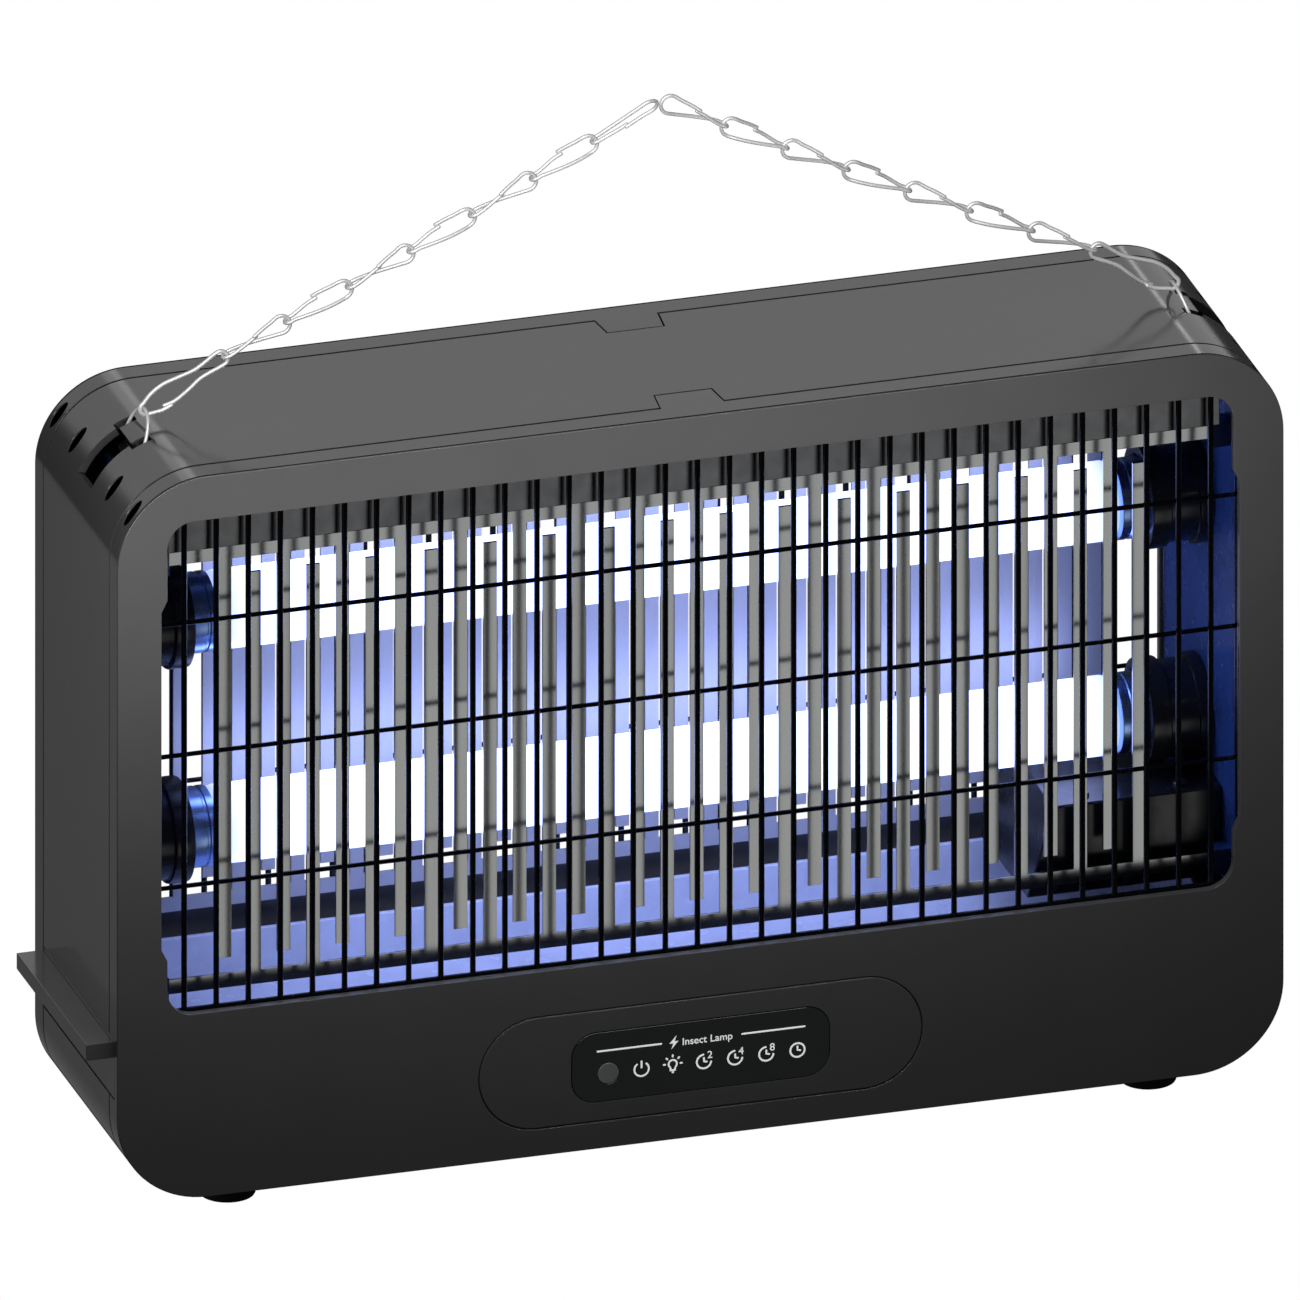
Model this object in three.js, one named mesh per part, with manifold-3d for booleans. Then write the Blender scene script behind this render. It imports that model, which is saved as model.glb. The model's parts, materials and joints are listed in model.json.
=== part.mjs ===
// Electric insect killer: a slim housing of three shells with two fluorescent lamps between two
// high-voltage combs, wire guards front and back, a catch tray that slides out of the left side,
// and a twisted-link chain to hang it by.
// Millimetres, +X right, +Y back, +Z up, origin at the bottom centre of the whole object.

import * as THREE from 'three';
import { mergeVertices } from 'three/addons/utils/BufferGeometryUtils.js';
import Module from 'manifold-3d';

// ---------------------------------------------------------------- driving dimensions

const HALF_WIDTH = 195;
const HALF_DEPTH = 45.65;
const BOTTOM = 6; // the feet lift the housing this far
const TOP = 258;
const CORNER = 30;
const WALL = 2.5;
const GAP = 0.3; // clearance between pieces that touch
const SEAM = 36.25; // the shells meet at this distance from the middle plane

const WINDOW = { halfWide: 180.3, halfNarrow: 178.3, low: 70.4, stepLow: 92, stepHigh: 214, high: 242.7 };
const WINDOW_CORNER = 9;
const TAB = { halfRoot: 10.6, halfTip: 9.4, reach: 10.2 };
const SCREW_HOLE = { from: 28, to: 47, width: 4.8, bandY: 20, rimY: 40.7 };
const SLOT = { from: 25, to: 63, halfWidth: 7.25 };
const NOTCH = { from: 61, to: 75, halfWidth: 10.4 };

const GUARD = { bars: 33, pitch: 10.73, bar: 1.8, halfWidth: 182.3, low: 69.6, high: 246, ring: 1.8 };
const GUARD_Y = 41.9;
const CROSS_WIRES = [113, 159, 205];
const CROSS_WIRE = 1.4;
const HEADER = { halfWidth: 176, low: 229, high: 251, y: 37.4, thick: 1.2 };

const COMB = { y: 31.3, thick: 1, halfWidth: 174, strip: 4.5, pitch: 9.87, strips: 32, left: -155 };
const COMB_TOP = 226.3;
const COMB_RAIL_TOP = 221.8;
const COMB_RAIL_BOTTOM = 77;
const COMB_BOTTOM = 72;
const COMB_FREE_END = 5.5; // a strip stops this far short of the opposite rail

const END_PLATE = { inner: 180.6, outer: 182.6, halfDepth: 39, low: 64.5, high: 246 };
const LUG = { reach: 174.4, halfY: 3.4, halfZ: 4.5 };
const LAMP_HEIGHTS = { upper: 190, lower: 115 };
const LAMP = { radius: 13, glass: 150.6, capStart: 150.9, capEnd: 165, pinEnd: 171.5, pin: 1.2, pinAt: 6.35 };
const HOLDER = { radius: 17.25, face: 160, back: 180.3, seat: 13.8, pocket: 9 };

const TRAY = { left: -190.2, right: 174, halfY: 33.8, low: 42.1, high: 62, wall: 1.8 };
const TRAY_FRONT = { x: -194.9, low: 42.3, high: 62.9, front: -41.7, back: 34.9 };
const TRAY_LIP = { reach: 9.4, low: 56.8, high: 62.4 };
const TRAY_MOUTH = { low: 41.9, high: 63.3, front: -42.1, back: 35.3 };
const DECK = { left: -188, right: 178.5, halfY: 35.6, low: 38.8, thick: 1.5, high: 47, side: 1.4 };

const PANEL = { halfWidth: 74, radius: 19.35, z: 35, flange: 2.6, flangeThick: 1.2 };
const LABEL = { halfWidth: 43, halfHeight: 12, radius: 8, z: 34.5, thick: 1.2, sensorX: -30.9, sensorZ: 32 };
const SENSOR_RADIUS = 3.6;

const FOOT = { x: 154, y: 31, radius: 10, stud: 2.6, studTop: 12 };
const INLET = { x: 120, z: 26, halfWidth: 14, halfHeight: 9, flange: 2.4, depth: 18 };
const SOCKET = { halfWidth: 9, halfHeight: 4, depth: 12, pin: 1.2, pinAt: 4.3 };

const RING = { wire: 0.6, axisRadius: 26.6, axisAngle: 66, halfWidth: 9, reach: 11.35, lean: 70.4 };
const HOOK = { wire: 0.7, angle: 30, length: 30 };
const LINK = { wire: 0.62, narrow: 1.75, wide: 3.1, count: 7, lowAngle: 24.4, angleStep: 0.5 };
const NEST = 1.65; // distance between the wire centres of two links that bear on each other
const APEX_GAP = 0.85; // each half of the chain ends this far from the middle plane

// ---------------------------------------------------------------- helpers

const wasm = await Module();
wasm.setup();

// The same surface with only positions, shared by the faces that meet there.
function bare(geometry) {
  const copy = geometry.clone();
  copy.deleteAttribute('normal');
  copy.deleteAttribute('uv');
  return mergeVertices(copy, 1e-4);
}

function solid(geometry) {
  const merged = bare(geometry);
  return new wasm.Manifold(
    new wasm.Mesh({
      numProp: 3,
      vertProperties: new Float32Array(merged.attributes.position.array),
      triVerts: new Uint32Array(merged.index.array),
    }),
  );
}

function geometryOf(body) {
  const { vertProperties, triVerts } = body.getMesh();
  const geometry = new THREE.BufferGeometry();
  geometry.setAttribute('position', new THREE.BufferAttribute(new Float32Array(vertProperties), 3));
  geometry.setIndex(new THREE.BufferAttribute(new Uint32Array(triVerts), 1));
  return geometry;
}

function join(...geometries) {
  return geometryOf(geometries.map(solid).reduce((whole, piece) => whole.add(piece)));
}

function cut(geometry, ...tools) {
  return geometryOf(tools.map(solid).reduce((whole, tool) => whole.subtract(tool), solid(geometry)));
}

function box(x0, x1, y0, y1, z0, z1) {
  const geometry = new THREE.BoxGeometry(x1 - x0, y1 - y0, z1 - z0);
  return geometry.translate((x0 + x1) / 2, (y0 + y1) / 2, (z0 + z1) / 2);
}

// An outline in X and Z, as thick as y0 to y1.
function slab(shape, y0, y1, curveSegments = 6) {
  const geometry = new THREE.ExtrudeGeometry(shape, { depth: y1 - y0, bevelEnabled: false, curveSegments });
  return geometry.rotateX(Math.PI / 2).translate(0, y1, 0);
}

function roundedRect(x0, x1, z0, z1, r, outline = new THREE.Shape()) {
  const quarter = Math.PI / 2;
  outline.absarc(x1 - r, z0 + r, r, -quarter, 0);
  outline.absarc(x1 - r, z1 - r, r, 0, quarter);
  outline.absarc(x0 + r, z1 - r, r, quarter, 2 * quarter);
  outline.absarc(x0 + r, z0 + r, r, 2 * quarter, 3 * quarter);
  return outline;
}

// A body of revolution about the X axis, from a profile of [radius, x] points.
function turned(profile, segments) {
  const points = profile.map(([radius, x]) => new THREE.Vector2(radius, x));
  return new THREE.LatheGeometry(points, segments).rotateZ(-Math.PI / 2);
}

// A copy scaled by 1 or -1 along each axis, with its faces turned back out where that flips them.
function mirrored(geometry, x, y, z) {
  const copy = bare(geometry).scale(x, y, z);
  if (x * y * z > 0) return copy;
  const index = copy.index;
  for (let i = 0; i < index.count; i += 3) {
    const first = index.getX(i);
    index.setX(i, index.getX(i + 2));
    index.setX(i + 2, first);
  }
  return copy;
}

// A bent wire. The path passes through every point and has one step between each two.
class WirePath extends THREE.CatmullRomCurve3 {
  getPointAt(t, target) {
    return this.getPoint(t, target);
  }

  getTangentAt(t, target) {
    return this.getTangent(t, target);
  }
}

function wire(points, radius, sides = 6) {
  const section = new THREE.Shape(
    Array.from({ length: sides }, (_, i) => {
      const angle = (2 * Math.PI * i) / sides;
      return new THREE.Vector2(radius * Math.cos(angle), radius * Math.sin(angle));
    }),
  );
  return new THREE.ExtrudeGeometry(section, {
    steps: points.length - 1,
    extrudePath: new WirePath(points),
  });
}

const MATERIALS = {
  shell: { color: 0x2b2c2e, roughness: 0.55, metalness: 0 },
  guard: { color: 0x0d0d0f, roughness: 0.35, metalness: 0.3 },
  comb: { color: 0x9c9c9a, roughness: 0.35, metalness: 0.9 },
  inner: { color: 0x17181b, roughness: 0.6, metalness: 0 },
  glass: { color: 0xe8f0ff, roughness: 0.2, metalness: 0 },
  cap: { color: 0xb4b6ba, roughness: 0.3, metalness: 0.9 },
  gloss: { color: 0x060607, roughness: 0.08, metalness: 0 },
  board: { color: 0x1e5a34, roughness: 0.5, metalness: 0 },
  tray: { color: 0x3a3c42, roughness: 0.5, metalness: 0 },
  rubber: { color: 0x0b0b0b, roughness: 0.8, metalness: 0 },
  steel: { color: 0xd0d1d3, roughness: 0.25, metalness: 1 },
};

const housing = new THREE.Group();

function add(name, material, geometry) {
  const mesh = new THREE.Mesh(
    geometry,
    new THREE.MeshStandardMaterial({ ...MATERIALS[material], flatShading: true }),
  );
  mesh.name = name;
  housing.add(mesh);
}

// ---------------------------------------------------------------- shells

const outer = () => roundedRect(-HALF_WIDTH, HALF_WIDTH, BOTTOM, TOP, CORNER);

function ringOutline() {
  const shape = outer();
  const inner = HALF_WIDTH - WALL;
  shape.holes.push(
    roundedRect(-inner, inner, BOTTOM + WALL, TOP - WALL, CORNER - WALL, new THREE.Path()),
  );
  return shape;
}

function windowOutline() {
  const { halfWide, halfNarrow, low, stepLow, stepHigh, high } = WINDOW;
  const hole = new THREE.Path();
  const r = WINDOW_CORNER;
  const quarter = Math.PI / 2;
  const step = halfWide - halfNarrow;
  hole.absarc(halfNarrow - r, low + r, r, -quarter, 0);
  hole.lineTo(halfNarrow, stepLow - step);
  hole.lineTo(halfWide, stepLow + step);
  hole.lineTo(halfWide, stepHigh - step);
  hole.lineTo(halfNarrow, stepHigh + step);
  hole.absarc(halfNarrow - r, high - r, r, 0, quarter);
  hole.absarc(-halfNarrow + r, high - r, r, quarter, 2 * quarter);
  hole.lineTo(-halfNarrow, stepHigh + step);
  hole.lineTo(-halfWide, stepHigh - step);
  hole.lineTo(-halfWide, stepLow + step);
  hole.lineTo(-halfNarrow, stepLow - step);
  hole.absarc(-halfNarrow + r, low + r, r, 2 * quarter, 3 * quarter);
  return hole;
}

// Where a point of a top corner lies, from its angle above the horizontal and its radius.
function cornerPoint(side, degrees, radius) {
  const angle = THREE.MathUtils.degToRad(degrees);
  return new THREE.Vector2(
    side * (HALF_WIDTH - CORNER + radius * Math.cos(angle)),
    TOP - CORNER + radius * Math.sin(angle),
  );
}

// A wedge through a top corner's wall, for a slot.
function cornerWedge(side, from, to, y0, y1) {
  const inside = CORNER - 4 * WALL;
  const outside = CORNER + 2 * WALL;
  const shape = new THREE.Shape([
    cornerPoint(side, from, inside),
    cornerPoint(side, from, outside),
    cornerPoint(side, to, outside),
    cornerPoint(side, to, inside),
  ]);
  return slab(shape, y0, y1);
}

// The oval bar that cuts one screw hole in a top corner.
function screwHole(side, y) {
  const middle = (SCREW_HOLE.from + SCREW_HOLE.to) / 2;
  const half = (CORNER * THREE.MathUtils.degToRad(SCREW_HOLE.to - SCREW_HOLE.from)) / 2;
  const shape = new THREE.Shape().absellipse(0, 0, half, SCREW_HOLE.width / 2, 0, 2 * Math.PI);
  const depth = 6 * WALL;
  const bar = new THREE.ExtrudeGeometry(shape, { depth, bevelEnabled: false, curveSegments: 5 });
  const place = cornerPoint(side, middle, CORNER - 3 * WALL);
  bar.rotateY(side * THREE.MathUtils.degToRad(90 - middle));
  return bar.translate(place.x, y, place.y);
}

function tab(rootHalf, tipHalf, y0, y1) {
  const shape = new THREE.Shape();
  shape.moveTo(-rootHalf, y0);
  shape.lineTo(rootHalf, y0);
  shape.lineTo(tipHalf, y1);
  shape.lineTo(-tipHalf, y1);
  return new THREE.ExtrudeGeometry(shape, { depth: WALL, bevelEnabled: false });
}

// The front shell, at its place, with its face towards -Y. The rear one is its mirror image.
function faceShell(holes) {
  const face = outer();
  face.holes.push(windowOutline(), ...holes);
  const rim = slab(ringOutline(), -HALF_DEPTH + WALL / 2, -SEAM - GAP / 2);
  const plate = slab(face, -HALF_DEPTH, -HALF_DEPTH + WALL);
  const tongue = tab(TAB.halfRoot, TAB.halfTip, -SEAM - 1, -SEAM + TAB.reach);
  const body = join(plate, rim, tongue.translate(0, 0, TOP - WALL));
  return cut(body, ...[-1, 1].map((side) => screwHole(side, -SCREW_HOLE.rimY)));
}

function capsule(grow, outline) {
  const { halfWidth, radius, z } = PANEL;
  const r = radius + grow;
  const x = halfWidth + grow;
  return roundedRect(-x, x, z - r, z + r, r - 0.01, outline);
}

function buildShells() {
  const trayMouth = box(
    -HALF_WIDTH - WALL, -HALF_WIDTH + 2 * WALL,
    TRAY_MOUTH.front, TRAY_MOUTH.back,
    TRAY_MOUTH.low, TRAY_MOUTH.high,
  );
  add('front_frame', 'shell', cut(faceShell([capsule(GAP, new THREE.Path())]), trayMouth));

  const inletHole = box(
    INLET.x - INLET.halfWidth - GAP, INLET.x + INLET.halfWidth + GAP,
    -HALF_DEPTH - WALL, -HALF_DEPTH + 2 * WALL,
    INLET.z - INLET.halfHeight - GAP, INLET.z + INLET.halfHeight + GAP,
  );
  add('rear_frame', 'shell', mirrored(cut(faceShell([]), inletHole), 1, -1, 1));

  const reach = SEAM - GAP / 2;
  const tools = [trayMouth];
  for (const side of [-1, 1]) {
    const { from, to, halfWidth } = SLOT;
    tools.push(cornerWedge(side, from, to, -halfWidth, halfWidth));
    tools.push(cornerWedge(side, NOTCH.from, NOTCH.to, halfWidth, NOTCH.halfWidth));
    tools.push(cornerWedge(side, NOTCH.from, NOTCH.to, -NOTCH.halfWidth, -halfWidth));
    tools.push(screwHole(side, -SCREW_HOLE.bandY), screwHole(side, SCREW_HOLE.bandY));
    const notch = tab(TAB.halfRoot + 2 * GAP, TAB.halfTip + GAP, -SEAM - 1, -SEAM + TAB.reach + GAP);
    notch.scale(1, 1, 3).translate(0, 0, TOP - 2 * WALL);
    tools.push(side < 0 ? notch : mirrored(notch, 1, -1, 1));
    for (const y of [-FOOT.y, FOOT.y]) {
      tools.push(upright(FOOT.stud + GAP, BOTTOM - 1, BOTTOM + 2 * WALL).translate(side * FOOT.x, y, 0));
    }
  }
  add('centre_band', 'shell', cut(slab(ringOutline(), -reach, reach), ...tools));
}

// A cylinder about Z.
function upright(radius, z0, z1, segments = 12) {
  const geometry = new THREE.CylinderGeometry(radius, radius, z1 - z0, segments);
  return geometry.rotateX(Math.PI / 2).translate(0, 0, (z0 + z1) / 2);
}

function buildFeet() {
  const stud = upright(FOOT.stud, BOTTOM - 2, FOOT.studTop);
  const shoe = new THREE.CylinderGeometry(FOOT.radius, FOOT.radius - 1, BOTTOM - GAP, 20);
  shoe.rotateX(Math.PI / 2).translate(0, 0, (BOTTOM - GAP) / 2);
  const foot = join(shoe, stud);
  for (const [end, y] of [['front', -FOOT.y], ['rear', FOOT.y]]) {
    for (const [side, x] of [['left', -FOOT.x], ['right', FOOT.x]]) {
      add(`foot_${end}_${side}`, 'rubber', foot.clone().translate(x, y, 0));
    }
  }
}

// ---------------------------------------------------------------- guards, headers and combs

function guardBars() {
  const { bars, pitch, bar, halfWidth, low, high, ring } = GUARD;
  const front = -GUARD_Y - bar / 2;
  const back = -GUARD_Y + bar / 2;
  const lastBar = ((bars - 1) / 2) * pitch;
  const slots = [];
  for (let i = 0; i <= bars; i += 1) {
    const x = i * pitch - lastBar;
    const left = i === 0 ? ring - halfWidth : x - pitch + bar / 2;
    const right = i === bars ? halfWidth - ring : x - bar / 2;
    slots.push(box(left, right, front - 1, back + 1, low + ring, high - ring));
  }
  return cut(slab(roundedRect(-halfWidth, halfWidth, low, high, 2 * ring), front, back, 3), ...slots);
}

// The cross wires, tied together at their ends.
function guardWires() {
  const front = -GUARD_Y + GUARD.bar / 2 + GAP;
  const back = front + CROSS_WIRE;
  const x = GUARD.halfWidth - 0.5;
  const half = CROSS_WIRE / 2;
  const wires = CROSS_WIRES.map((z) => box(-x, x, front, back, z - half, z + half));
  const ties = [-1, 1].map((side) =>
    mirrored(box(x - CROSS_WIRE, x, front, back, CROSS_WIRES[0], CROSS_WIRES.at(-1)), side, 1, 1));
  return join(...wires, ...ties);
}

// A rail with every second strip of the comb, reaching almost to the opposite rail.
function comb(fromTop) {
  const { y, thick, halfWidth, strip, pitch, strips, left } = COMB;
  const front = -y - thick / 2;
  const back = -y + thick / 2;
  const strand = (x0, x1, z0, z1) => box(x0, x1, front, back, z0, z1);
  const pieces = [
    fromTop
      ? strand(-halfWidth, halfWidth, COMB_RAIL_TOP, COMB_TOP)
      : strand(-halfWidth, halfWidth, COMB_BOTTOM, COMB_RAIL_BOTTOM),
  ];
  for (let i = fromTop ? 0 : 1; i < strips; i += 2) {
    const x = left + i * pitch;
    const low = fromTop ? COMB_RAIL_BOTTOM + COMB_FREE_END : COMB_RAIL_BOTTOM - 1;
    const high = fromTop ? COMB_RAIL_TOP + 1 : COMB_RAIL_TOP - COMB_FREE_END;
    pieces.push(strand(x - strip / 2, x + strip / 2, low, high));
  }
  return join(...pieces);
}

function buildGrids() {
  const header = box(
    -HEADER.halfWidth, HEADER.halfWidth,
    -HEADER.y - HEADER.thick / 2, -HEADER.y + HEADER.thick / 2,
    HEADER.low, HEADER.high,
  );
  // The rear combs are the same parts as the front ones, turned round.
  for (const [end, side] of [['front', 1], ['rear', -1]]) {
    add(`${end}_guard_bars`, 'guard', mirrored(guardBars(), 1, side, 1));
    add(`${end}_guard_wires`, 'guard', mirrored(guardWires(), 1, side, 1));
    add(`${end}_header`, 'gloss', mirrored(header, 1, side, 1));
    add(`${end}_comb_upper`, 'comb', mirrored(comb(true), side, side, 1));
    add(`${end}_comb_lower`, 'comb', mirrored(comb(false), side, side, 1));
  }
}

// ---------------------------------------------------------------- lamps and their carriers

function endPlate(side) {
  const { inner, outer: outside, halfDepth, low, high } = END_PLATE;
  const pieces = [box(inner, outside, -halfDepth, halfDepth, low, high)];
  for (const y of [-COMB.y, COMB.y]) {
    for (const z of [(COMB_BOTTOM + COMB_RAIL_BOTTOM) / 2, (COMB_TOP + COMB_RAIL_TOP) / 2]) {
      pieces.push(box(LUG.reach, inner + 1, y - LUG.halfY, y + LUG.halfY, z - LUG.halfZ, z + LUG.halfZ));
    }
  }
  return mirrored(join(...pieces), side, 1, 1);
}

function lampCap(side) {
  const { radius, capStart, capEnd, pinEnd, pin, pinAt } = LAMP;
  const outer = radius + 0.2;
  const cap = turned(
    [[0, capStart], [outer, capStart], [outer, capEnd - 1], [outer - 1, capEnd], [0, capEnd]],
    18,
  );
  const pins = [-pinAt, pinAt].map((z) =>
    turned([[0, capEnd - 1], [pin, capEnd - 1], [pin, pinEnd], [0, pinEnd]], 8).translate(0, 0, z),
  );
  return mirrored(join(cap, ...pins), side, 1, 1);
}

function lampHolder(side) {
  const { radius, face, back, seat, pocket } = HOLDER;
  const seatDepth = LAMP.capEnd + GAP;
  const pocketDepth = LAMP.pinEnd + GAP;
  const holder = turned(
    [
      [0, pocketDepth], [pocket, pocketDepth], [pocket, seatDepth], [seat, seatDepth],
      [seat, face], [radius, face], [radius, back], [0, back],
    ],
    20,
  );
  return mirrored(join(holder), side, 1, 1);
}

function buildLamps() {
  const { radius, glass } = LAMP;
  const tube = turned([[0, -glass], [radius, -glass], [radius, glass], [0, glass]], 20);
  for (const [level, z] of Object.entries(LAMP_HEIGHTS)) {
    add(`lamp_${level}_tube`, 'glass', tube.clone().translate(0, 0, z));
    for (const [end, side] of [['left', -1], ['right', 1]]) {
      add(`lamp_${level}_cap_${end}`, 'cap', lampCap(side).translate(0, 0, z));
      add(`lampholder_${level}_${end}`, 'inner', lampHolder(side).translate(0, 0, z));
    }
  }
  add('end_plate_left', 'inner', endPlate(-1));
  add('end_plate_right', 'inner', endPlate(1));
}

// ---------------------------------------------------------------- electrics

function buildElectrics() {
  const hood = { left: 115, right: 180.2, halfY: 26, low: 66, high: 97, slope: 9, wall: 2 };
  const outline = (inset, end) => {
    const { left, low, high, slope } = hood;
    return new THREE.Shape([
      new THREE.Vector2(left + inset, low + inset),
      new THREE.Vector2(end, low + inset),
      new THREE.Vector2(end, high - inset),
      new THREE.Vector2(left + slope + inset, high - inset),
    ]);
  };
  add('electronics_cover', 'inner', cut(
    slab(outline(0, hood.right), -hood.halfY, hood.halfY),
    slab(outline(hood.wall, hood.right + 1), hood.wall - hood.halfY, hood.halfY - hood.wall),
  ));
  add('high_voltage_module', 'gloss', box(132, 174, -18, 18, 68.3, 88));

  const board = box(20, 168, -24, 26, 14, 15.6);
  const inductor = box(40, 72, -14, 14, 15, 34);
  const capacitor = upright(8, 15, 36).translate(96, 6, 0);
  const transformer = box(120, 148, -12, 16, 15, 32);
  const posts = [[26, -18], [26, 20], [162, -18], [162, 20]].map(([x, y]) =>
    upright(3, BOTTOM + WALL + GAP, 15, 8).translate(x, y, 0));
  add('driver_board', 'board', join(board, inductor, capacitor, transformer, ...posts));

  const controlBoard = box(-58, 58, -40.6, -39, 20, 50);
  const chip = box(-10, 6, -39.5, -37, 28, 40);
  const plug = box(30, 44, -39.5, -36, 24, 32);
  add('control_board', 'board', join(controlBoard, chip, plug));
}

function buildPanel() {
  const face = -HALF_DEPTH;
  const plate = slab(capsule(0), face, face + WALL + 2 * GAP, 8);
  const flange = slab(capsule(PANEL.flange), face + WALL + GAP, face + WALL + GAP + PANEL.flangeThick, 8);
  const { halfWidth, halfHeight, radius, z, thick, sensorX, sensorZ } = LABEL;
  const label = (grow) => roundedRect(
    -halfWidth - grow, halfWidth + grow, z - halfHeight - grow, z + halfHeight + grow, radius + grow,
  );
  add('control_plate', 'shell', cut(join(plate, flange), slab(label(GAP), face - 1, face + thick + GAP)));
  const lens = label(0);
  lens.holes.push(new THREE.Path().absarc(sensorX, sensorZ, SENSOR_RADIUS + GAP, 0, 2 * Math.PI));
  add('touch_lens', 'gloss', slab(lens, face, face + thick));
  const sensor = new THREE.Shape().absarc(sensorX, sensorZ, SENSOR_RADIUS, 0, 2 * Math.PI);
  add('sensor_window', 'inner', slab(sensor, face, face + thick, 12));
}

function buildInlet() {
  const { x, z, halfWidth, halfHeight, flange, depth } = INLET;
  const back = HALF_DEPTH;
  const inside = back - WALL - GAP;
  const body = box(x - halfWidth, x + halfWidth, back - depth, back, z - halfHeight, z + halfHeight);
  const lip = box(
    x - halfWidth - flange, x + halfWidth + flange,
    inside - 1.5, inside,
    z - halfHeight - flange, z + halfHeight + flange,
  );
  const mouth = roundedRect(
    x - SOCKET.halfWidth, x + SOCKET.halfWidth, z - SOCKET.halfHeight, z + SOCKET.halfHeight,
    SOCKET.halfHeight - 0.01,
  );
  const shell = cut(join(body, lip), slab(mouth, back - SOCKET.depth, back + 1));
  const pins = [-SOCKET.pinAt, SOCKET.pinAt].map((offset) =>
    upright(SOCKET.pin, 0, SOCKET.depth - 1, 8).rotateX(-Math.PI / 2)
      .translate(x + offset, back - SOCKET.depth - 1, z));
  add('mains_inlet', 'inner', join(shell, ...pins));
}

// ---------------------------------------------------------------- catch tray

function buildTray() {
  const { left, right, halfY, low, high, wall } = TRAY;
  add('tray_pan', 'tray', cut(
    box(left, right, -halfY, halfY, low, high),
    box(left + wall, right - wall, wall - halfY, halfY - wall, low + wall, high + 1),
  ));
  const front = box(
    TRAY_FRONT.x, left - GAP, TRAY_FRONT.front, TRAY_FRONT.back, TRAY_FRONT.low, TRAY_FRONT.high,
  );
  const lip = box(
    -HALF_WIDTH - TRAY_LIP.reach, left - GAP - 1,
    TRAY_FRONT.front, TRAY_FRONT.back,
    TRAY_LIP.low, TRAY_LIP.high,
  );
  add('tray_handle', 'shell', join(front, lip));

  const deck = box(DECK.left, DECK.right, -DECK.halfY, DECK.halfY, DECK.low, DECK.high);
  const channel = box(
    DECK.left - 1, DECK.right - DECK.side,
    DECK.side - DECK.halfY, DECK.halfY - DECK.side,
    DECK.low + DECK.thick, DECK.high + 1,
  );
  add('tray_deck', 'inner', cut(deck, channel));
}

// ---------------------------------------------------------------- chain

const radians = THREE.MathUtils.degToRad;

// Points on an arc in a plane, as [along, across] pairs, from one angle to another.
function arc(along, across, radius, from, to, steps, squash = 1) {
  return Array.from({ length: steps + 1 }, (_, i) => {
    const angle = radians(from + ((to - from) * i) / steps);
    return [along + radius * squash * Math.cos(angle), across + radius * Math.sin(angle)];
  });
}

// Lays [along, across, y] points out from a place in the XZ plane, in a direction.
function layOut(points, place, degrees) {
  const angle = radians(degrees);
  const along = new THREE.Vector3(Math.cos(angle), 0, Math.sin(angle));
  const across = new THREE.Vector3(-Math.sin(angle), 0, Math.cos(angle));
  return points.map(([u, w, y = 0]) =>
    new THREE.Vector3(place.x, y, place.y).addScaledVector(along, u).addScaledVector(across, w));
}

// The D-shaped bail: a straight leg on its hinge axis and a bow, both in a plane through Y.
function ringPoints() {
  const { halfWidth, reach } = RING;
  const bend = 1.5;
  const half = [[0, 0, 0.25], [0, 0, halfWidth - 2 * bend], [0.25 * bend, 0, halfWidth - 0.55 * bend]];
  const bow = arc(bend, 0, halfWidth, 0, 180, 10).map(([y, d]) => [
    bend + (d * (reach - bend)) / halfWidth, 0, y - bend,
  ]);
  const otherHalf = half.map(([u, w, y]) => [u, w, -y]).reverse();
  return [...half, ...bow, ...otherHalf];
}

// The hook link, a pear-shaped loop in the XZ plane whose two ends lie side by side.
function hookPoints() {
  const { length, wire: radius } = HOOK;
  const far = length + NEST - 2.6;
  const lap = 2 * radius + GAP;
  const lower = arc(2.2 - NEST, 0, 2.2, 270, 90, 6);
  const upper = [[4.5, 3.6], [9, 4], [15, 2.9], [20, 1.9], [23.5, 2]];
  const top = arc(far, 0, 2.6, 75, -75, 5);
  const back = [[23.5, -2], [20, -1.9], [15, -2.9], [9, -3.9, lap / 2], [5.4, -3.5, lap]];
  return [[8.4, -4.1], [4.5, -3.7], ...lower, ...upper, ...top, ...back];
}

// A small link: a narrow eye across Y, strands that turn over evenly, and a wide eye. The wire's two
// ends lie side by side on the upper strand. The hand is the way that the strands turn.
function linkPoints(length, twist, hand) {
  const { narrow, wide } = LINK;
  const strandStart = 3.3;
  const farCentre = length - wide;
  const place = (u, side, out = 0) => {
    const share = THREE.MathUtils.clamp((u - strandStart) / (farCentre - strandStart), 0, 1);
    const half = THREE.MathUtils.lerp(narrow, wide, share) + out;
    const angle = radians(twist * share);
    return [u, side * half * Math.sin(angle), hand * side * half * Math.cos(angle)];
  };
  const turn = radians(twist);
  const nearEye = arc(narrow, 0, narrow, 90, 270, 5).map(([u, w]) => [u, 0, hand * w]);
  const farEye = arc(farCentre, 0, wide, -90, 90, 6).map(([u, w]) => [
    u, w * Math.sin(turn), hand * w * Math.cos(turn),
  ]);
  const first = [place(13, 1, -0.45), place(9.4, 1), place(6.3, 1), place(strandStart, 1)];
  const lower = [strandStart, 6.3, 9.4, 12.4, 15.4, 18.6].map((u) => place(u, -1));
  const last = [place(18.6, 1), place(15.4, 1, 0.4), place(11.4, 1, 1)];
  return [...first, ...nearEye, ...lower, ...farEye, ...last];
}

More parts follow.
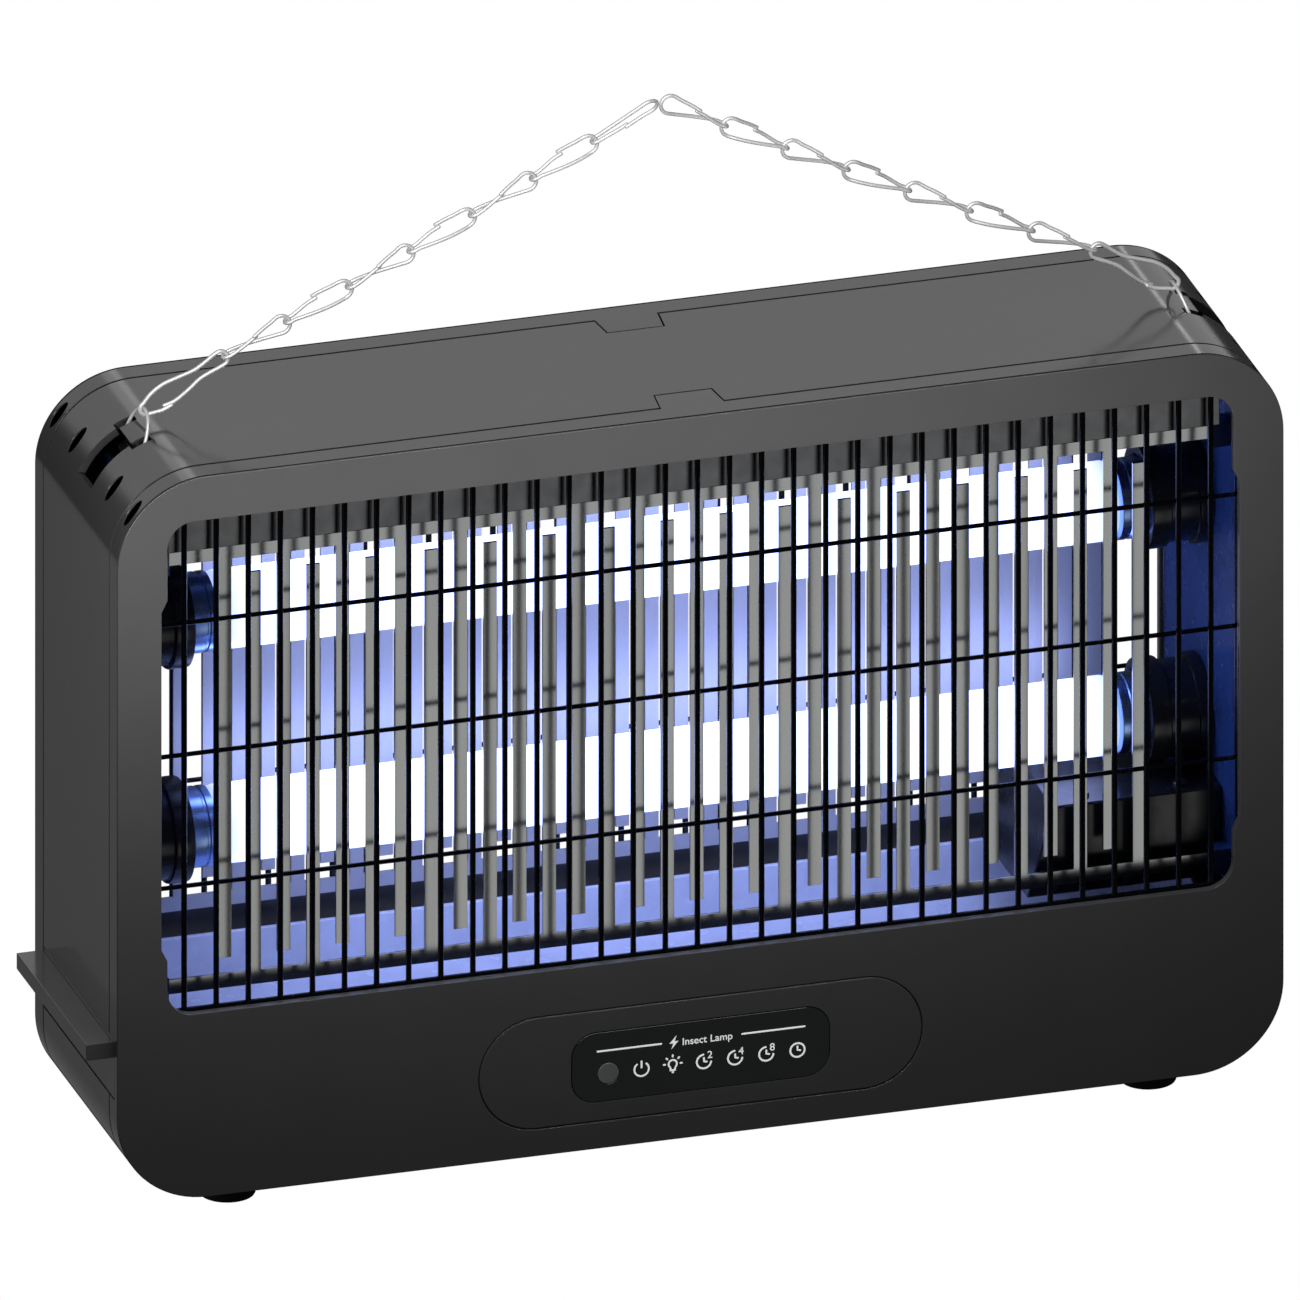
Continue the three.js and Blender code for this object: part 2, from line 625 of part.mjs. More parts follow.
function polar(place, radius, degrees) {
  const angle = radians(degrees);
  return new THREE.Vector2(place.x + radius * Math.cos(angle), place.y + radius * Math.sin(angle));
}

function buildChain() {
  const corner = new THREE.Vector2(-HALF_WIDTH + CORNER, TOP - CORNER);
  const ringAxis = polar(corner, RING.axisRadius, 180 - RING.axisAngle);
  const hookAxis = polar(ringAxis, RING.reach, RING.lean);
  const linkAxis = polar(hookAxis, HOOK.length, HOOK.angle);

  const angles = Array.from({ length: LINK.count }, (_, i) => LINK.lowAngle + i * LINK.angleStep);
  const run = angles.reduce((sum, angle) => sum + Math.cos(radians(angle)), 0);
  const last = Math.cos(radians(angles.at(-1)));
  const pitch = (-APEX_GAP - linkAxis.x - NEST * last) / run;

  for (const [half, side] of [['left', 1], ['right', -1]]) {
    const make = (name, points, place, degrees, radius) => {
      const route = layOut(points, place, degrees);
      route.forEach((point) => { point.x *= side; });
      add(`${name}_${half}`, 'steel', wire(route, radius));
    };
    make('chain_ring', ringPoints(), ringAxis, RING.lean, RING.wire);
    make('chain_hook', hookPoints(), hookAxis, HOOK.angle, HOOK.wire);
    let place = linkAxis;
    angles.forEach((angle, i) => {
      const flat = half === 'left' && i === LINK.count - 1;
      const hand = i % 2 === 0 ? -1 : 1;
      make(`chain_link_${i + 1}`, linkPoints(pitch + NEST, flat ? 0 : 90, hand), place, angle, LINK.wire);
      place = polar(place, pitch, angle);
    });

    const seat = { reach: RING.axisRadius - RING.wire - GAP, thick: 2, half: 5 };
    const saddle = box(-seat.half, seat.half, -6, 6, seat.reach - seat.thick, seat.reach);
    saddle.rotateY(-radians(90 - RING.axisAngle)).translate(corner.x, 0, corner.y);
    add(`hanger_bracket_${half}`, 'inner', mirrored(saddle, side, 1, 1));
  }
}

buildShells();
buildFeet();
buildGrids();
buildLamps();
buildElectrics();
buildPanel();
buildInlet();
buildTray();
buildChain();

housing.position.x = TRAY_LIP.reach / 2;

const group = new THREE.Group();
group.add(housing);

export default group;
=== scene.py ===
"""The looks of an electric insect killer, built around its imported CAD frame.

Lengths are millimetres: X from the middle of the housing, Y from its middle plane and Z from the
surface that it stands on. They become metres in the row frame when a mesh is made.
"""

import json
import math

import bmesh
import bpy
from mathutils import Matrix, Vector

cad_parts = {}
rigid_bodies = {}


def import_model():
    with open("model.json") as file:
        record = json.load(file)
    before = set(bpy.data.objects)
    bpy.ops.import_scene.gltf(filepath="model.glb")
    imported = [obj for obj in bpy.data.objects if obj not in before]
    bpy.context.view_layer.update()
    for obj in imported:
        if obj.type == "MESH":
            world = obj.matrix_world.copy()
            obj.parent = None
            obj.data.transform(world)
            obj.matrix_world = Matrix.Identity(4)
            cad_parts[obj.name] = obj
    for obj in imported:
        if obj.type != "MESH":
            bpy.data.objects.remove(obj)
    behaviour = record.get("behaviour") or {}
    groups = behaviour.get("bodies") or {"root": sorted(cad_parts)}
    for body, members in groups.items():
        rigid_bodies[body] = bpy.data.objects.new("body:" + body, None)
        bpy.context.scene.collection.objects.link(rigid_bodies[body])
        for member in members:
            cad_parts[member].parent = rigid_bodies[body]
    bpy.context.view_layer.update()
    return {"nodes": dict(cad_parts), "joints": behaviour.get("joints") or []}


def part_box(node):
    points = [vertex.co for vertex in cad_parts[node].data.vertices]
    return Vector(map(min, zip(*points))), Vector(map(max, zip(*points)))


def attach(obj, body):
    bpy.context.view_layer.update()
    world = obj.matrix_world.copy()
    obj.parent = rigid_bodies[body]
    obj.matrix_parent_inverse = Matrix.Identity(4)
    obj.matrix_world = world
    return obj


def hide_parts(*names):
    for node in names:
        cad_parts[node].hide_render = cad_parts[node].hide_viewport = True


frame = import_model()

MM = 0.001


def node_box(node):
    """A CAD node's lowest and highest corners, in millimetres in the row frame."""
    low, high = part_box(node)
    return low / MM, high / MM


# ---------------------------------------------------------------- driving dimensions

BAND_LOW, BAND_HIGH = node_box("centre_band")
MIDDLE = Vector(((BAND_LOW.x + BAND_HIGH.x) / 2, 0, 0))
HALF_WIDTH = (BAND_HIGH.x - BAND_LOW.x) / 2
BOTTOM = BAND_LOW.z
TOP = BAND_HIGH.z
HALF_DEPTH = node_box("rear_frame")[1].y
SEAM_FACE = BAND_HIGH.y
CORNER = 30
WALL = 2.5
GAP = 0.3
SEAM = SEAM_FACE + GAP / 2

WINDOW = {"wide": 180.3, "narrow": 178.3, "low": 70.4, "step_low": 92, "step_high": 214, "high": 242.7}
WINDOW_CORNER = 9
FACE_FILLET = 0.3
FACE_GROOVE = {"from": 0.35, "to": 1.1, "depth": 0.9}
SEAM_SHADOW = 0.12
WINDOW_FILLET = 0.3
SEAM_FILLET = 0.3

TAB = {"root": 10.6, "tip": 9.4, "reach": 10.2}
SCREW_HOLE = {"from": 28, "to": 47, "width": 4.8}
SCREW_ROWS = {"front": -40.7, "band_front": -20, "band_rear": 20, "rear": 40.7}
SLOT = {"from": 25, "to": 63, "half": 7.25}
NOTCH = {"from": 61, "to": 75, "half": 10.4}

GUARD = {"bars": 33, "pitch": 10.73, "wire": 0.95, "half_width": 182.3, "low": 69.6, "high": 246, "y": 41.9}
CROSS_WIRES = (113, 159, 205)
CROSS_WIRE_RADIUS = 0.78

COMB = {"y": 31.3, "half_thick": 0.5, "half_width": 174, "strip": 4.5, "pitch": 9.87, "left": -155}
COMB_STRIPS = 32
COMB_TOP_RAIL = (221.8, 226.3)
COMB_LOW_RAIL = (72, 77)
COMB_FREE_END = 5.5

LAMP_HEIGHTS = {"upper": 190, "lower": 115}
LAMP_RADIUS = 13

PANEL = {"half_width": 74, "radius": 19.35, "z": 35}
LABEL = {"half_width": 43, "half_height": 12, "radius": 8, "z": 34.5, "thick": 1.2}
SENSOR = {"x": -30.9, "z": 32, "radius": 3.6}
FIRST_KEY = 11.1
KEY_PITCH = 10.43

ROOF = {"half_width": 182, "half_depth": 36.4, "low": 246.3, "high": 247}

RING = {"wire": 0.6, "half_width": 9, "reach": 11.35, "bend": 1.5}
HOOK = {"wire": 0.7, "length": 30}
LINK = {"wire": 0.62, "narrow": 1.75, "wide": 3.1, "count": 7, "angle_step": 0.5}
NEST = 1.65

# ---------------------------------------------------------------- materials


def nodes_of(name):
    material = bpy.data.materials.new(name)
    material.use_nodes = True
    tree = material.node_tree
    return material, tree, tree.nodes["Principled BSDF"]


def noise(tree, scale, detail=2, stretch=(1, 1, 1)):
    """A noise texture in the piece's own coordinates, in cycles per metre."""
    place = tree.nodes.new("ShaderNodeTexCoord")
    mapping = tree.nodes.new("ShaderNodeMapping")
    mapping.inputs["Scale"].default_value = stretch
    texture = tree.nodes.new("ShaderNodeTexNoise")
    texture.inputs["Scale"].default_value = scale
    texture.inputs["Detail"].default_value = detail
    tree.links.new(place.outputs["Object"], mapping.inputs["Vector"])
    tree.links.new(mapping.outputs["Vector"], texture.inputs["Vector"])
    return texture.outputs["Fac"]


def spread(tree, value, low, high):
    """A 0 to 1 value brought into the range low to high."""
    node = tree.nodes.new("ShaderNodeMapRange")
    node.inputs["From Min"].default_value = 0.3
    node.inputs["From Max"].default_value = 0.7
    node.inputs["To Min"].default_value = low
    node.inputs["To Max"].default_value = high
    tree.links.new(value, node.inputs["Value"])
    return node.outputs["Result"]


def tinted(tree, value, color, change):
    """The colour, darker and lighter by a share of itself where the value is low and high."""
    mix = tree.nodes.new("ShaderNodeMix")
    mix.data_type = "RGBA"
    mix.inputs["A"].default_value = (*[c * (1 - change) for c in color], 1)
    mix.inputs["B"].default_value = (*[c * (1 + change) for c in color], 1)
    tree.links.new(spread(tree, value, 0, 1), mix.inputs["Factor"])
    return mix.outputs["Result"]


def surface(name, color, roughness, metallic=0.0, mottle=0.08, uneven=0.04, grain=2500, depth=0.00001,
            stretch=(1, 1, 1), specular=0.5):
    """A moulded, coated or metal surface with cloudy colour, uneven gloss and a fine grain."""
    material, tree, shader = nodes_of(name)
    shader.inputs["Metallic"].default_value = metallic
    shader.inputs["Specular IOR Level"].default_value = specular
    cloud = noise(tree, 45, 4, stretch)
    tree.links.new(tinted(tree, cloud, color, mottle), shader.inputs["Base Color"])
    rough = spread(tree, noise(tree, 160, 3, stretch), roughness - uneven, roughness + uneven)
    tree.links.new(rough, shader.inputs["Roughness"])
    bump = tree.nodes.new("ShaderNodeBump")
    bump.inputs["Strength"].default_value = 1.0
    bump.inputs["Distance"].default_value = depth
    tree.links.new(noise(tree, grain, 2, stretch), bump.inputs["Height"])
    tree.links.new(bump.outputs["Normal"], shader.inputs["Normal"])
    return material


def glowing_glass():
    """Lamp glass: blue-white light, dimmer in the last stretch before each cap."""
    material, tree, shader = nodes_of("lamp_glass")
    shader.inputs["Base Color"].default_value = (0.8, 0.85, 0.95, 1)
    shader.inputs["Roughness"].default_value = 0.12
    shader.inputs["Emission Color"].default_value = (0.4, 0.48, 1.0, 1)
    place = tree.nodes.new("ShaderNodeTexCoord")
    split = tree.nodes.new("ShaderNodeSeparateXYZ")
    tree.links.new(place.outputs["Object"], split.inputs["Vector"])
    offset = tree.nodes.new("ShaderNodeMath")
    offset.operation = "SUBTRACT"
    offset.inputs[1].default_value = MIDDLE.x * MM
    tree.links.new(split.outputs["X"], offset.inputs[0])
    distance = tree.nodes.new("ShaderNodeMath")
    distance.operation = "ABSOLUTE"
    tree.links.new(offset.outputs["Value"], distance.inputs[0])
    fade = tree.nodes.new("ShaderNodeMapRange")
    fade.inputs["From Min"].default_value = 0.138
    fade.inputs["From Max"].default_value = 0.1505
    fade.inputs["To Min"].default_value = LAMP_GLOW
    fade.inputs["To Max"].default_value = 0.3 * LAMP_GLOW
    tree.links.new(distance.outputs["Value"], fade.inputs["Value"])
    tree.links.new(fade.outputs["Result"], shader.inputs["Emission Strength"])
    return material


LAMP_GLOW = 3.6

SHELL = surface("shell", (0.1, 0.1, 0.1), 0.14, specular=0.5, uneven=0.015, mottle=0.03, depth=0.000008)
# The black of the guard wires, also used as painted shade in the sleeves inside the screw holes.
GUARD_AND_SHADE_BLACK = surface("guard", (0.003, 0.003, 0.004), 0.26, specular=0.5, grain=1200, depth=0.000003)
COMB_METAL = surface("comb", (0.36, 0.37, 0.36), 0.2, 0.95, 0.03, 0.03, stretch=(1, 1, 0.06), depth=0.000001)
# A copy of the comb metal for the rear combs, set apart only for how the lamp light falls on them: painted
# light.
REAR_COMB_LIGHTING_COPY = surface("rear_comb_lighting_copy", (0.5, 0.5, 0.5), 0.45, 0.4, 0.03, 0.03, depth=0.000001)
# The end plates' strong blue is painted lamp light: the blue glow of the lamps put into their colour.
LAMPLIT_BLUE_SIDE_WALL = surface("side_wall", (0.045, 0.11, 0.32), 0.25, specular=0.8, depth=0.000004)
INNER = surface("inner", (0.018, 0.019, 0.021), 0.25, depth=0.000006)
GLASS = glowing_glass()
# The caps' strong blue tint is painted lamp light on plain metal caps.
LAMPLIT_BLUE_CAP_METAL = surface("cap", (0.36, 0.55, 1.0), 0.28, metallic=1.0, stretch=(0.05, 1, 1))
GLOSS = surface("gloss", (0.011, 0.0125, 0.012), 0.1, uneven=0.03, mottle=0.05, depth=0.000001)
HEADER = surface("header", (0.15, 0.152, 0.156), 0.3, metallic=1.0, uneven=0.03, depth=0.000002)
BOARD = surface("board", (0.03, 0.14, 0.06), 0.4)
# The tray's pale blue-white is painted lamp light: its plastic is dark grey.
LAMPLIT_PALE_TRAY = surface("tray", (0.75, 0.78, 0.85), 0.25, uneven=0.04, depth=0.000004)
RUBBER = surface("rubber", (0.012, 0.012, 0.012), 0.75, depth=0.00003)
ZINC = surface("zinc", (0.7, 0.7, 0.71), 0.4, metallic=0.4, uneven=0.06, grain=900, depth=0.000003)
PRINT = surface("print", (0.85, 0.86, 0.86), 0.5, mottle=0.02)
SENSOR_GREY = surface("sensor", (0.05, 0.052, 0.053), 0.35)

# ---------------------------------------------------------------- mesh helpers


def finished(bm, name, finish, slot, *nodes, body="housing", sharp=35):
    """Makes the mesh a piece of the object, riding on a body and standing for the nodes."""
    bmesh.ops.recalc_face_normals(bm, faces=bm.faces)
    mesh = bpy.data.meshes.new(name)
    bm.to_mesh(mesh)
    bm.free()
    mesh.transform(Matrix.Scale(MM, 4) @ Matrix.Translation(MIDDLE))
    mesh.materials.append(finish)
    mesh.shade_smooth()
    mesh.set_sharp_from_angle(angle=math.radians(sharp))
    piece = bpy.data.objects.new(name, mesh)
    bpy.context.scene.collection.objects.link(piece)
    weights = piece.modifiers.new("normals", "WEIGHTED_NORMAL")
    weights.keep_sharp = True
    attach(piece, body)
    if nodes:
        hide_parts(*nodes)
    return piece


def arc(across, up, radius, start, end, steps):
    """Points on a circle, as pairs, from one angle in degrees to another."""
    angles = [math.radians(start + (end - start) * i / steps) for i in range(steps + 1)]
    return [(across + radius * math.cos(angle), up + radius * math.sin(angle)) for angle in angles]


def rounded_rect(x0, x1, z0, z1, r, steps=20):
    """A rectangle's outline with round corners, anticlockwise."""
    corners = [
        *arc(x1 - r, z0 + r, r, -90, 0, steps),
        *arc(x1 - r, z1 - r, r, 0, 90, steps),
        *arc(x0 + r, z1 - r, r, 90, 180, steps),
        *arc(x0 + r, z0 + r, r, 180, 270, steps),
    ]
    return [p for i, p in enumerate(corners) if math.dist(p, corners[i - 1]) > 1e-5]


def inset(loop, distance):
    """An anticlockwise outline moved inwards, or outwards where the distance is negative."""
    moved = []
    for i, here in enumerate(loop):
        before = Vector(loop[i - 1])
        after = Vector(loop[(i + 1) % len(loop)])
        arriving = (Vector(here) - before).normalized()
        leaving = (after - Vector(here)).normalized()
        first = Vector((-arriving.y, arriving.x))
        bisector = (first + Vector((-leaving.y, leaving.x))).normalized()
        moved.append(Vector(here) + bisector * distance / bisector.dot(first))
    return moved


def rings(bm, loop, profile, matrix=Matrix()):
    """Skins an outline's copies at each (inset, y) of a profile. Gives the first and the last ring."""
    made = []
    for distance, y in profile:
        made.append([bm.verts.new(matrix @ Vector((x, y, z))) for x, z in inset(loop, distance)])
    for near, far in zip(made, made[1:]):
        for i, corner in enumerate(near):
            bm.faces.new((near[i - 1], corner, far[i], far[i - 1]))
    return made[0], made[-1]


def cap(bm, *loops):
    """Fills the flat area between rings of vertices."""
    edges = []
    for loop in loops:
        for i, corner in enumerate(loop):
            edge = bm.edges.get((loop[i - 1], corner))
            edges.append(edge or bm.edges.new((loop[i - 1], corner)))
    bmesh.ops.triangle_fill(bm, use_beauty=True, use_dissolve=False, edges=edges)


def fillet(radius, y, direction, steps=3):
    """(inset, y) pairs round an edge, from the wall to the face at y that looks along direction."""
    turns = [math.pi / 2 * i / steps for i in range(steps + 1)]
    return [
        (radius * (1 - math.cos(turn)), y - direction * radius * (1 - math.sin(turn)))
        for turn in turns
    ]


def outward(profile):
    """The same profile for a hole's outline, where the material lies outside."""
    return [(-distance, y) for distance, y in profile]


def plate(bm, loop, y0, y1, radius, holes=(), matrix=Matrix()):
    """A flat piece between two planes of Y, with its edges rounded."""
    profile = [*reversed(fillet(radius, y0, -1, 2)), *fillet(radius, y1, 1, 2)]
    ends = [rings(bm, loop, profile, matrix)]
    ends += [rings(bm, hole, outward(profile), matrix) for hole in holes]
    cap(bm, *[front for front, _ in ends])
    cap(bm, *[back for _, back in ends])


def turned(bm, profile, matrix=Matrix(), segments=48):
    """A body of revolution about Z, from (radius, z) points that start and end on the axis."""
    rows = []
    for radius, z in profile:
        if radius < 1e-6:
            rows.append([bm.verts.new(matrix @ Vector((0, 0, z)))])
            continue
        turns = [2 * math.pi * i / segments for i in range(segments)]
        rows.append([
            bm.verts.new(matrix @ Vector((radius * math.cos(turn), radius * math.sin(turn), z)))
            for turn in turns
        ])
    for near, far in zip(rows, rows[1:]):
        for i in range(segments):
            corners = [near[i - 1], near[i], far[i], far[i - 1]] if len(near) > 1 and len(far) > 1 else (
                [near[0], far[i], far[i - 1]] if len(near) == 1 else [near[i - 1], near[i], far[0]])
            bm.faces.new(corners)


def tube(bm, route, radius, sides=10, closed=False):
    """A round wire along a route, with its cut ends rounded off."""
    route = [Vector(point) for point in route]
    count = len(route)
    stations = []
    for i, point in enumerate(route):
        after = route[(i + 1) % count] if closed or i < count - 1 else point
        before = route[i - 1] if closed or i > 0 else point
        stations.append((point, (after - before).normalized(), radius))
    if not closed:
        stations = rounded_ends(stations, radius)
    made = []
    direction = stations[0][1]
    side = direction.orthogonal().normalized()
    for point, tangent, size in stations:
        side = direction.rotation_difference(tangent) @ side
        side = (side - tangent * side.dot(tangent)).normalized()
        direction = tangent
        other = tangent.cross(side)
        turns = [2 * math.pi * i / sides for i in range(sides)]
        made.append([
            bm.verts.new(point + size * (side * math.cos(turn) + other * math.sin(turn)))
            for turn in turns
        ])
    pairs = list(zip(made, made[1:])) + ([(made[-1], made[0])] if closed else [])
    for near, far in pairs:
        for i in range(sides):
            bm.faces.new((near[i - 1], near[i], far[i], far[i - 1]))
    if not closed:
        bm.faces.new(made[0])
        bm.faces.new(made[-1])


def rounded_ends(stations, radius):
    """The same stations with three closer, narrowing ones at each end of the wire."""
    steps = [(0.0, 0.55), (0.25, 0.86), (0.7, 1.0)]
    start, start_way, _ = stations[0]
    end, end_way, _ = stations[-1]
    middle = [
        s for s in stations[1:-1] if (s[0] - start).length > radius and (s[0] - end).length > radius
    ]
    first = [(start + start_way * radius * along, start_way, radius * size) for along, size in steps]
    last = [(end - end_way * radius * along, end_way, radius * size) for along, size in reversed(steps)]
    return [*first, *middle, *last]


def smooth_route(points, steps):
    """A centripetal curve through every point, with a number of steps between each two."""
    points = [Vector(point) for point in points]
    before = points[0] * 2 - points[1]
    after = points[-1] * 2 - points[-2]
    padded = [before, *points, after]
    route = []
    for quad in zip(padded, padded[1:], padded[2:], padded[3:]):
        knots = [0.0]
        for first, second in zip(quad, quad[1:]):
            knots.append(knots[-1] + math.sqrt((second - first).length))
        for i in range(steps):
            route.append(between(quad, knots, knots[1] + (knots[2] - knots[1]) * i / steps))
    return [*route, points[-1]]


def between(points, knots, at):
    """The curve's point at a knot value, by repeated interpolation."""
    level = list(points)
    for reach in (1, 2, 3):
        level = [
            level[i].lerp(level[i + 1], (at - knots[low]) / (knots[high] - knots[low]))
            for i, (low, high) in enumerate(spans(reach))
        ]
    return level[0]


def spans(reach):
    """The pairs of knots that each level of the interpolation runs between."""
    return {1: [(0, 1), (1, 2), (2, 3)], 2: [(0, 2), (1, 3)], 3: [(1, 2)]}[reach]


def block(bm, low, high):
    """A plain box, for cutting."""
    size = Vector(high) - Vector(low)
    middle = (Vector(high) + Vector(low)) / 2
    place = Matrix.Translation(middle) @ Matrix.Diagonal((*size, 1))
    bmesh.ops.create_cube(bm, size=1, matrix=place)


def temporary(bm):
    mesh = bpy.data.meshes.new("tool")
    bmesh.ops.recalc_face_normals(bm, faces=bm.faces)
    bm.to_mesh(mesh)
    bm.free()
    tool = bpy.data.objects.new("tool", mesh)
    bpy.context.scene.collection.objects.link(tool)
    return tool


def combined(bm, tools, operation="DIFFERENCE"):
    """The mesh cut by other meshes, or joined with them."""
    base = temporary(bm)
    helpers = [temporary(tool) for tool in tools]
    for helper in helpers:
        modifier = base.modifiers.new("cut", "BOOLEAN")
        modifier.operation = operation
        modifier.solver = "EXACT"
        modifier.object = helper
    bpy.context.view_layer.update()
    mesh = bpy.data.meshes.new_from_object(base.evaluated_get(bpy.context.evaluated_depsgraph_get()))
    result = bmesh.new()
    result.from_mesh(mesh)
    for used in (base, *helpers):
        bpy.data.objects.remove(used)
    return result


def softened(node, radius, segments=2):
    """A copy of a CAD node's solid with its flat faces made whole and its edges rounded."""
    bm = bmesh.new()
    bm.from_mesh(frame["nodes"][node].data)
    bmesh.ops.transform(bm, matrix=Matrix.Translation(-MIDDLE) @ Matrix.Scale(1 / MM, 4), verts=bm.verts)
    bmesh.ops.remove_doubles(bm, verts=bm.verts, dist=0.005)
    bmesh.ops.dissolve_limit(bm, angle_limit=math.radians(1), verts=bm.verts, edges=bm.edges)
    edges = [e for e in bm.edges if len(e.link_faces) == 2 and e.calc_face_angle() > math.radians(40)]
    bmesh.ops.bevel(bm, geom=edges, offset=radius, segments=segments, profile=0.5, affect="EDGES",
                    clamp_overlap=True)
    bmesh.ops.remove_doubles(bm, verts=bm.verts, dist=0.0005)
    return bm


# ---------------------------------------------------------------- shells


def housing_outline():
    return rounded_rect(-HALF_WIDTH, HALF_WIDTH, BOTTOM, TOP, CORNER, 28)


def window_outline():
    """The window: a rounded rectangle whose sides widen by a small step over most of their height."""
    wide, narrow, low, high = (WINDOW[key] for key in ("wide", "narrow", "low", "high"))
    r = WINDOW_CORNER
    step = wide - narrow
    right = [
        (narrow, WINDOW["step_low"] - step),
        (wide, WINDOW["step_low"] + step),
        (wide, WINDOW["step_high"] - step),
        (narrow, WINDOW["step_high"] + step),
    ]
    left = [(-x, z) for x, z in reversed(right)]
    return [
        *arc(narrow - r, low + r, r, -90, 0, 12),
        *right,
        *arc(narrow - r, high - r, r, 0, 90, 12),
        *arc(-narrow + r, high - r, r, 90, 180, 12),
        *left,
        *arc(-narrow + r, low + r, r, 180, 270, 12),
    ]


def capsule(grow=0.0):
    half, r, z = PANEL["half_width"] + grow, PANEL["radius"] + grow, PANEL["z"]
    return rounded_rect(-half, half, z - r, z + r, r, 24)


def corner_place(side, degrees, radius):
    """A point in X and Z seen from a top corner's centre."""
    angle = math.radians(degrees)
    return (
        side * (HALF_WIDTH - CORNER + radius * math.cos(angle)),
        TOP - CORNER + radius * math.sin(angle),
    )


def corner_wedge(side, start, end, y0, y1):
    """A closed wedge through a top corner's wall."""
    near, far = CORNER - 10, CORNER + 5
    loop = [
        corner_place(side, start, near),
        corner_place(side, start, far),
        corner_place(side, end, far),
        corner_place(side, end, near),
    ]
    bm = bmesh.new()
    first, last = rings(bm, loop if side > 0 else loop[::-1], [(0, y0), (0, y1)])
    bm.faces.new(first)
    bm.faces.new(last)
    return bm


def radial(side, degrees, radius, y):
    """A place on a top corner's wall whose local -Y axis points outwards and local X runs round it."""
    x, z = corner_place(side, degrees, radius)
    tilt = side * math.radians(90 - degrees)
    turn = Matrix.Rotation(tilt, 4, "Y") @ Matrix.Rotation(math.radians(-90), 4, "X")
    return Matrix.Translation((x, y, z)) @ turn


def screw_hole_outline():
    half = math.radians(SCREW_HOLE["to"] - SCREW_HOLE["from"]) * CORNER / 2
    stretch = SCREW_HOLE["width"] / 2 / half
    return [(x, stretch * y) for x, y in arc(0, 0, half, 0, 352.5, 47)]


def screw_hole(side, y):
    """A cutter for one oval screw hole, with its mouth slightly widened."""
    middle = (SCREW_HOLE["from"] + SCREW_HOLE["to"]) / 2
    bm = bmesh.new()
    profile = [(-0.3, -1.0), (-0.15, 0.1), (0, 0.35), (0, 8)]
    first, last = rings(bm, screw_hole_outline(), profile, radial(side, middle, CORNER, y))
    bm.faces.new(first)
    bm.faces.new(last)
    return bm


def tab(grow, z0, z1, radius):
    """The tongue on the top edge of the front shell, or the cutter for its notch."""
    root, tip = TAB["root"] + grow, TAB["tip"] + grow
    start, end = SEAM + 1, SEAM - TAB["reach"] - grow
    lying = Matrix.Rotation(math.radians(90), 4, "X")
    bm = bmesh.new()
    plate(bm, [(-tip, end), (tip, end), (root, start), (-root, start)], z0, z1, radius, matrix=lying)
    return bm


def tray_mouth():
    low, high = node_box("tray_handle")
    bm = bmesh.new()
    block(bm, (-HALF_WIDTH - 3, low.y - 0.4, low.z - 0.4), (-HALF_WIDTH + 5, high.y + 0.4, high.z + 0.4))
    return bm


def face_shell(openings):
    """The front shell at its place. The rear one is its mirror image."""
    face, back = -HALF_DEPTH, -HALF_DEPTH + WALL
    seam = -SEAM - GAP / 2 - SEAM_SHADOW
    groove = FACE_GROOVE
    rim = [
        (WALL, back),
        (WALL, seam),
        *reversed(fillet(SEAM_FILLET, seam, 1, 2)),
        (0, face + groove["to"]),
        (groove["depth"], face + groove["to"] - 0.05),
        (groove["depth"], face + groove["from"] + 0.05),
        (0, face + groove["from"]),
        *fillet(FACE_FILLET, face, -1, 3),
    ]
    bm = bmesh.new()
    ends = [rings(bm, housing_outline(), rim)]
    for outline, radius in openings:
        edge = outward([*reversed(fillet(radius, face, -1, 4)), (0, back)])
        ends.append(rings(bm, outline, edge)[::-1])
    cap(bm, *[inner for inner, _ in ends])
    cap(bm, *[outer for _, outer in ends])
    bm = combined(bm, [tab(0, TOP - WALL, TOP, 0.25)], "UNION")
    return combined(bm, [screw_hole(side, SCREW_ROWS["front"]) for side in (-1, 1)])


def make_shells():
    openings = [(window_outline(), WINDOW_FILLET)]
    front = face_shell([*openings, (capsule(GAP), 0.35)])
    front = combined(front, [tray_mouth()])
    finished(front, "front_shell", SHELL, "shell", "front_frame")

    rear = face_shell(openings)
    bmesh.ops.transform(rear, matrix=Matrix.Diagonal((1, -1, 1, 1)), verts=rear.verts)
    low, high = node_box("mains_inlet")
    hole = bmesh.new()
    inlet_lip = 2.4 - GAP
    block(hole, (low.x - MIDDLE.x + inlet_lip, 30, low.z + inlet_lip),
          (high.x - MIDDLE.x - inlet_lip, 60, high.z - inlet_lip))
    finished(combined(rear, [hole]), "rear_shell", SHELL, "shell", "rear_frame")
    make_band()


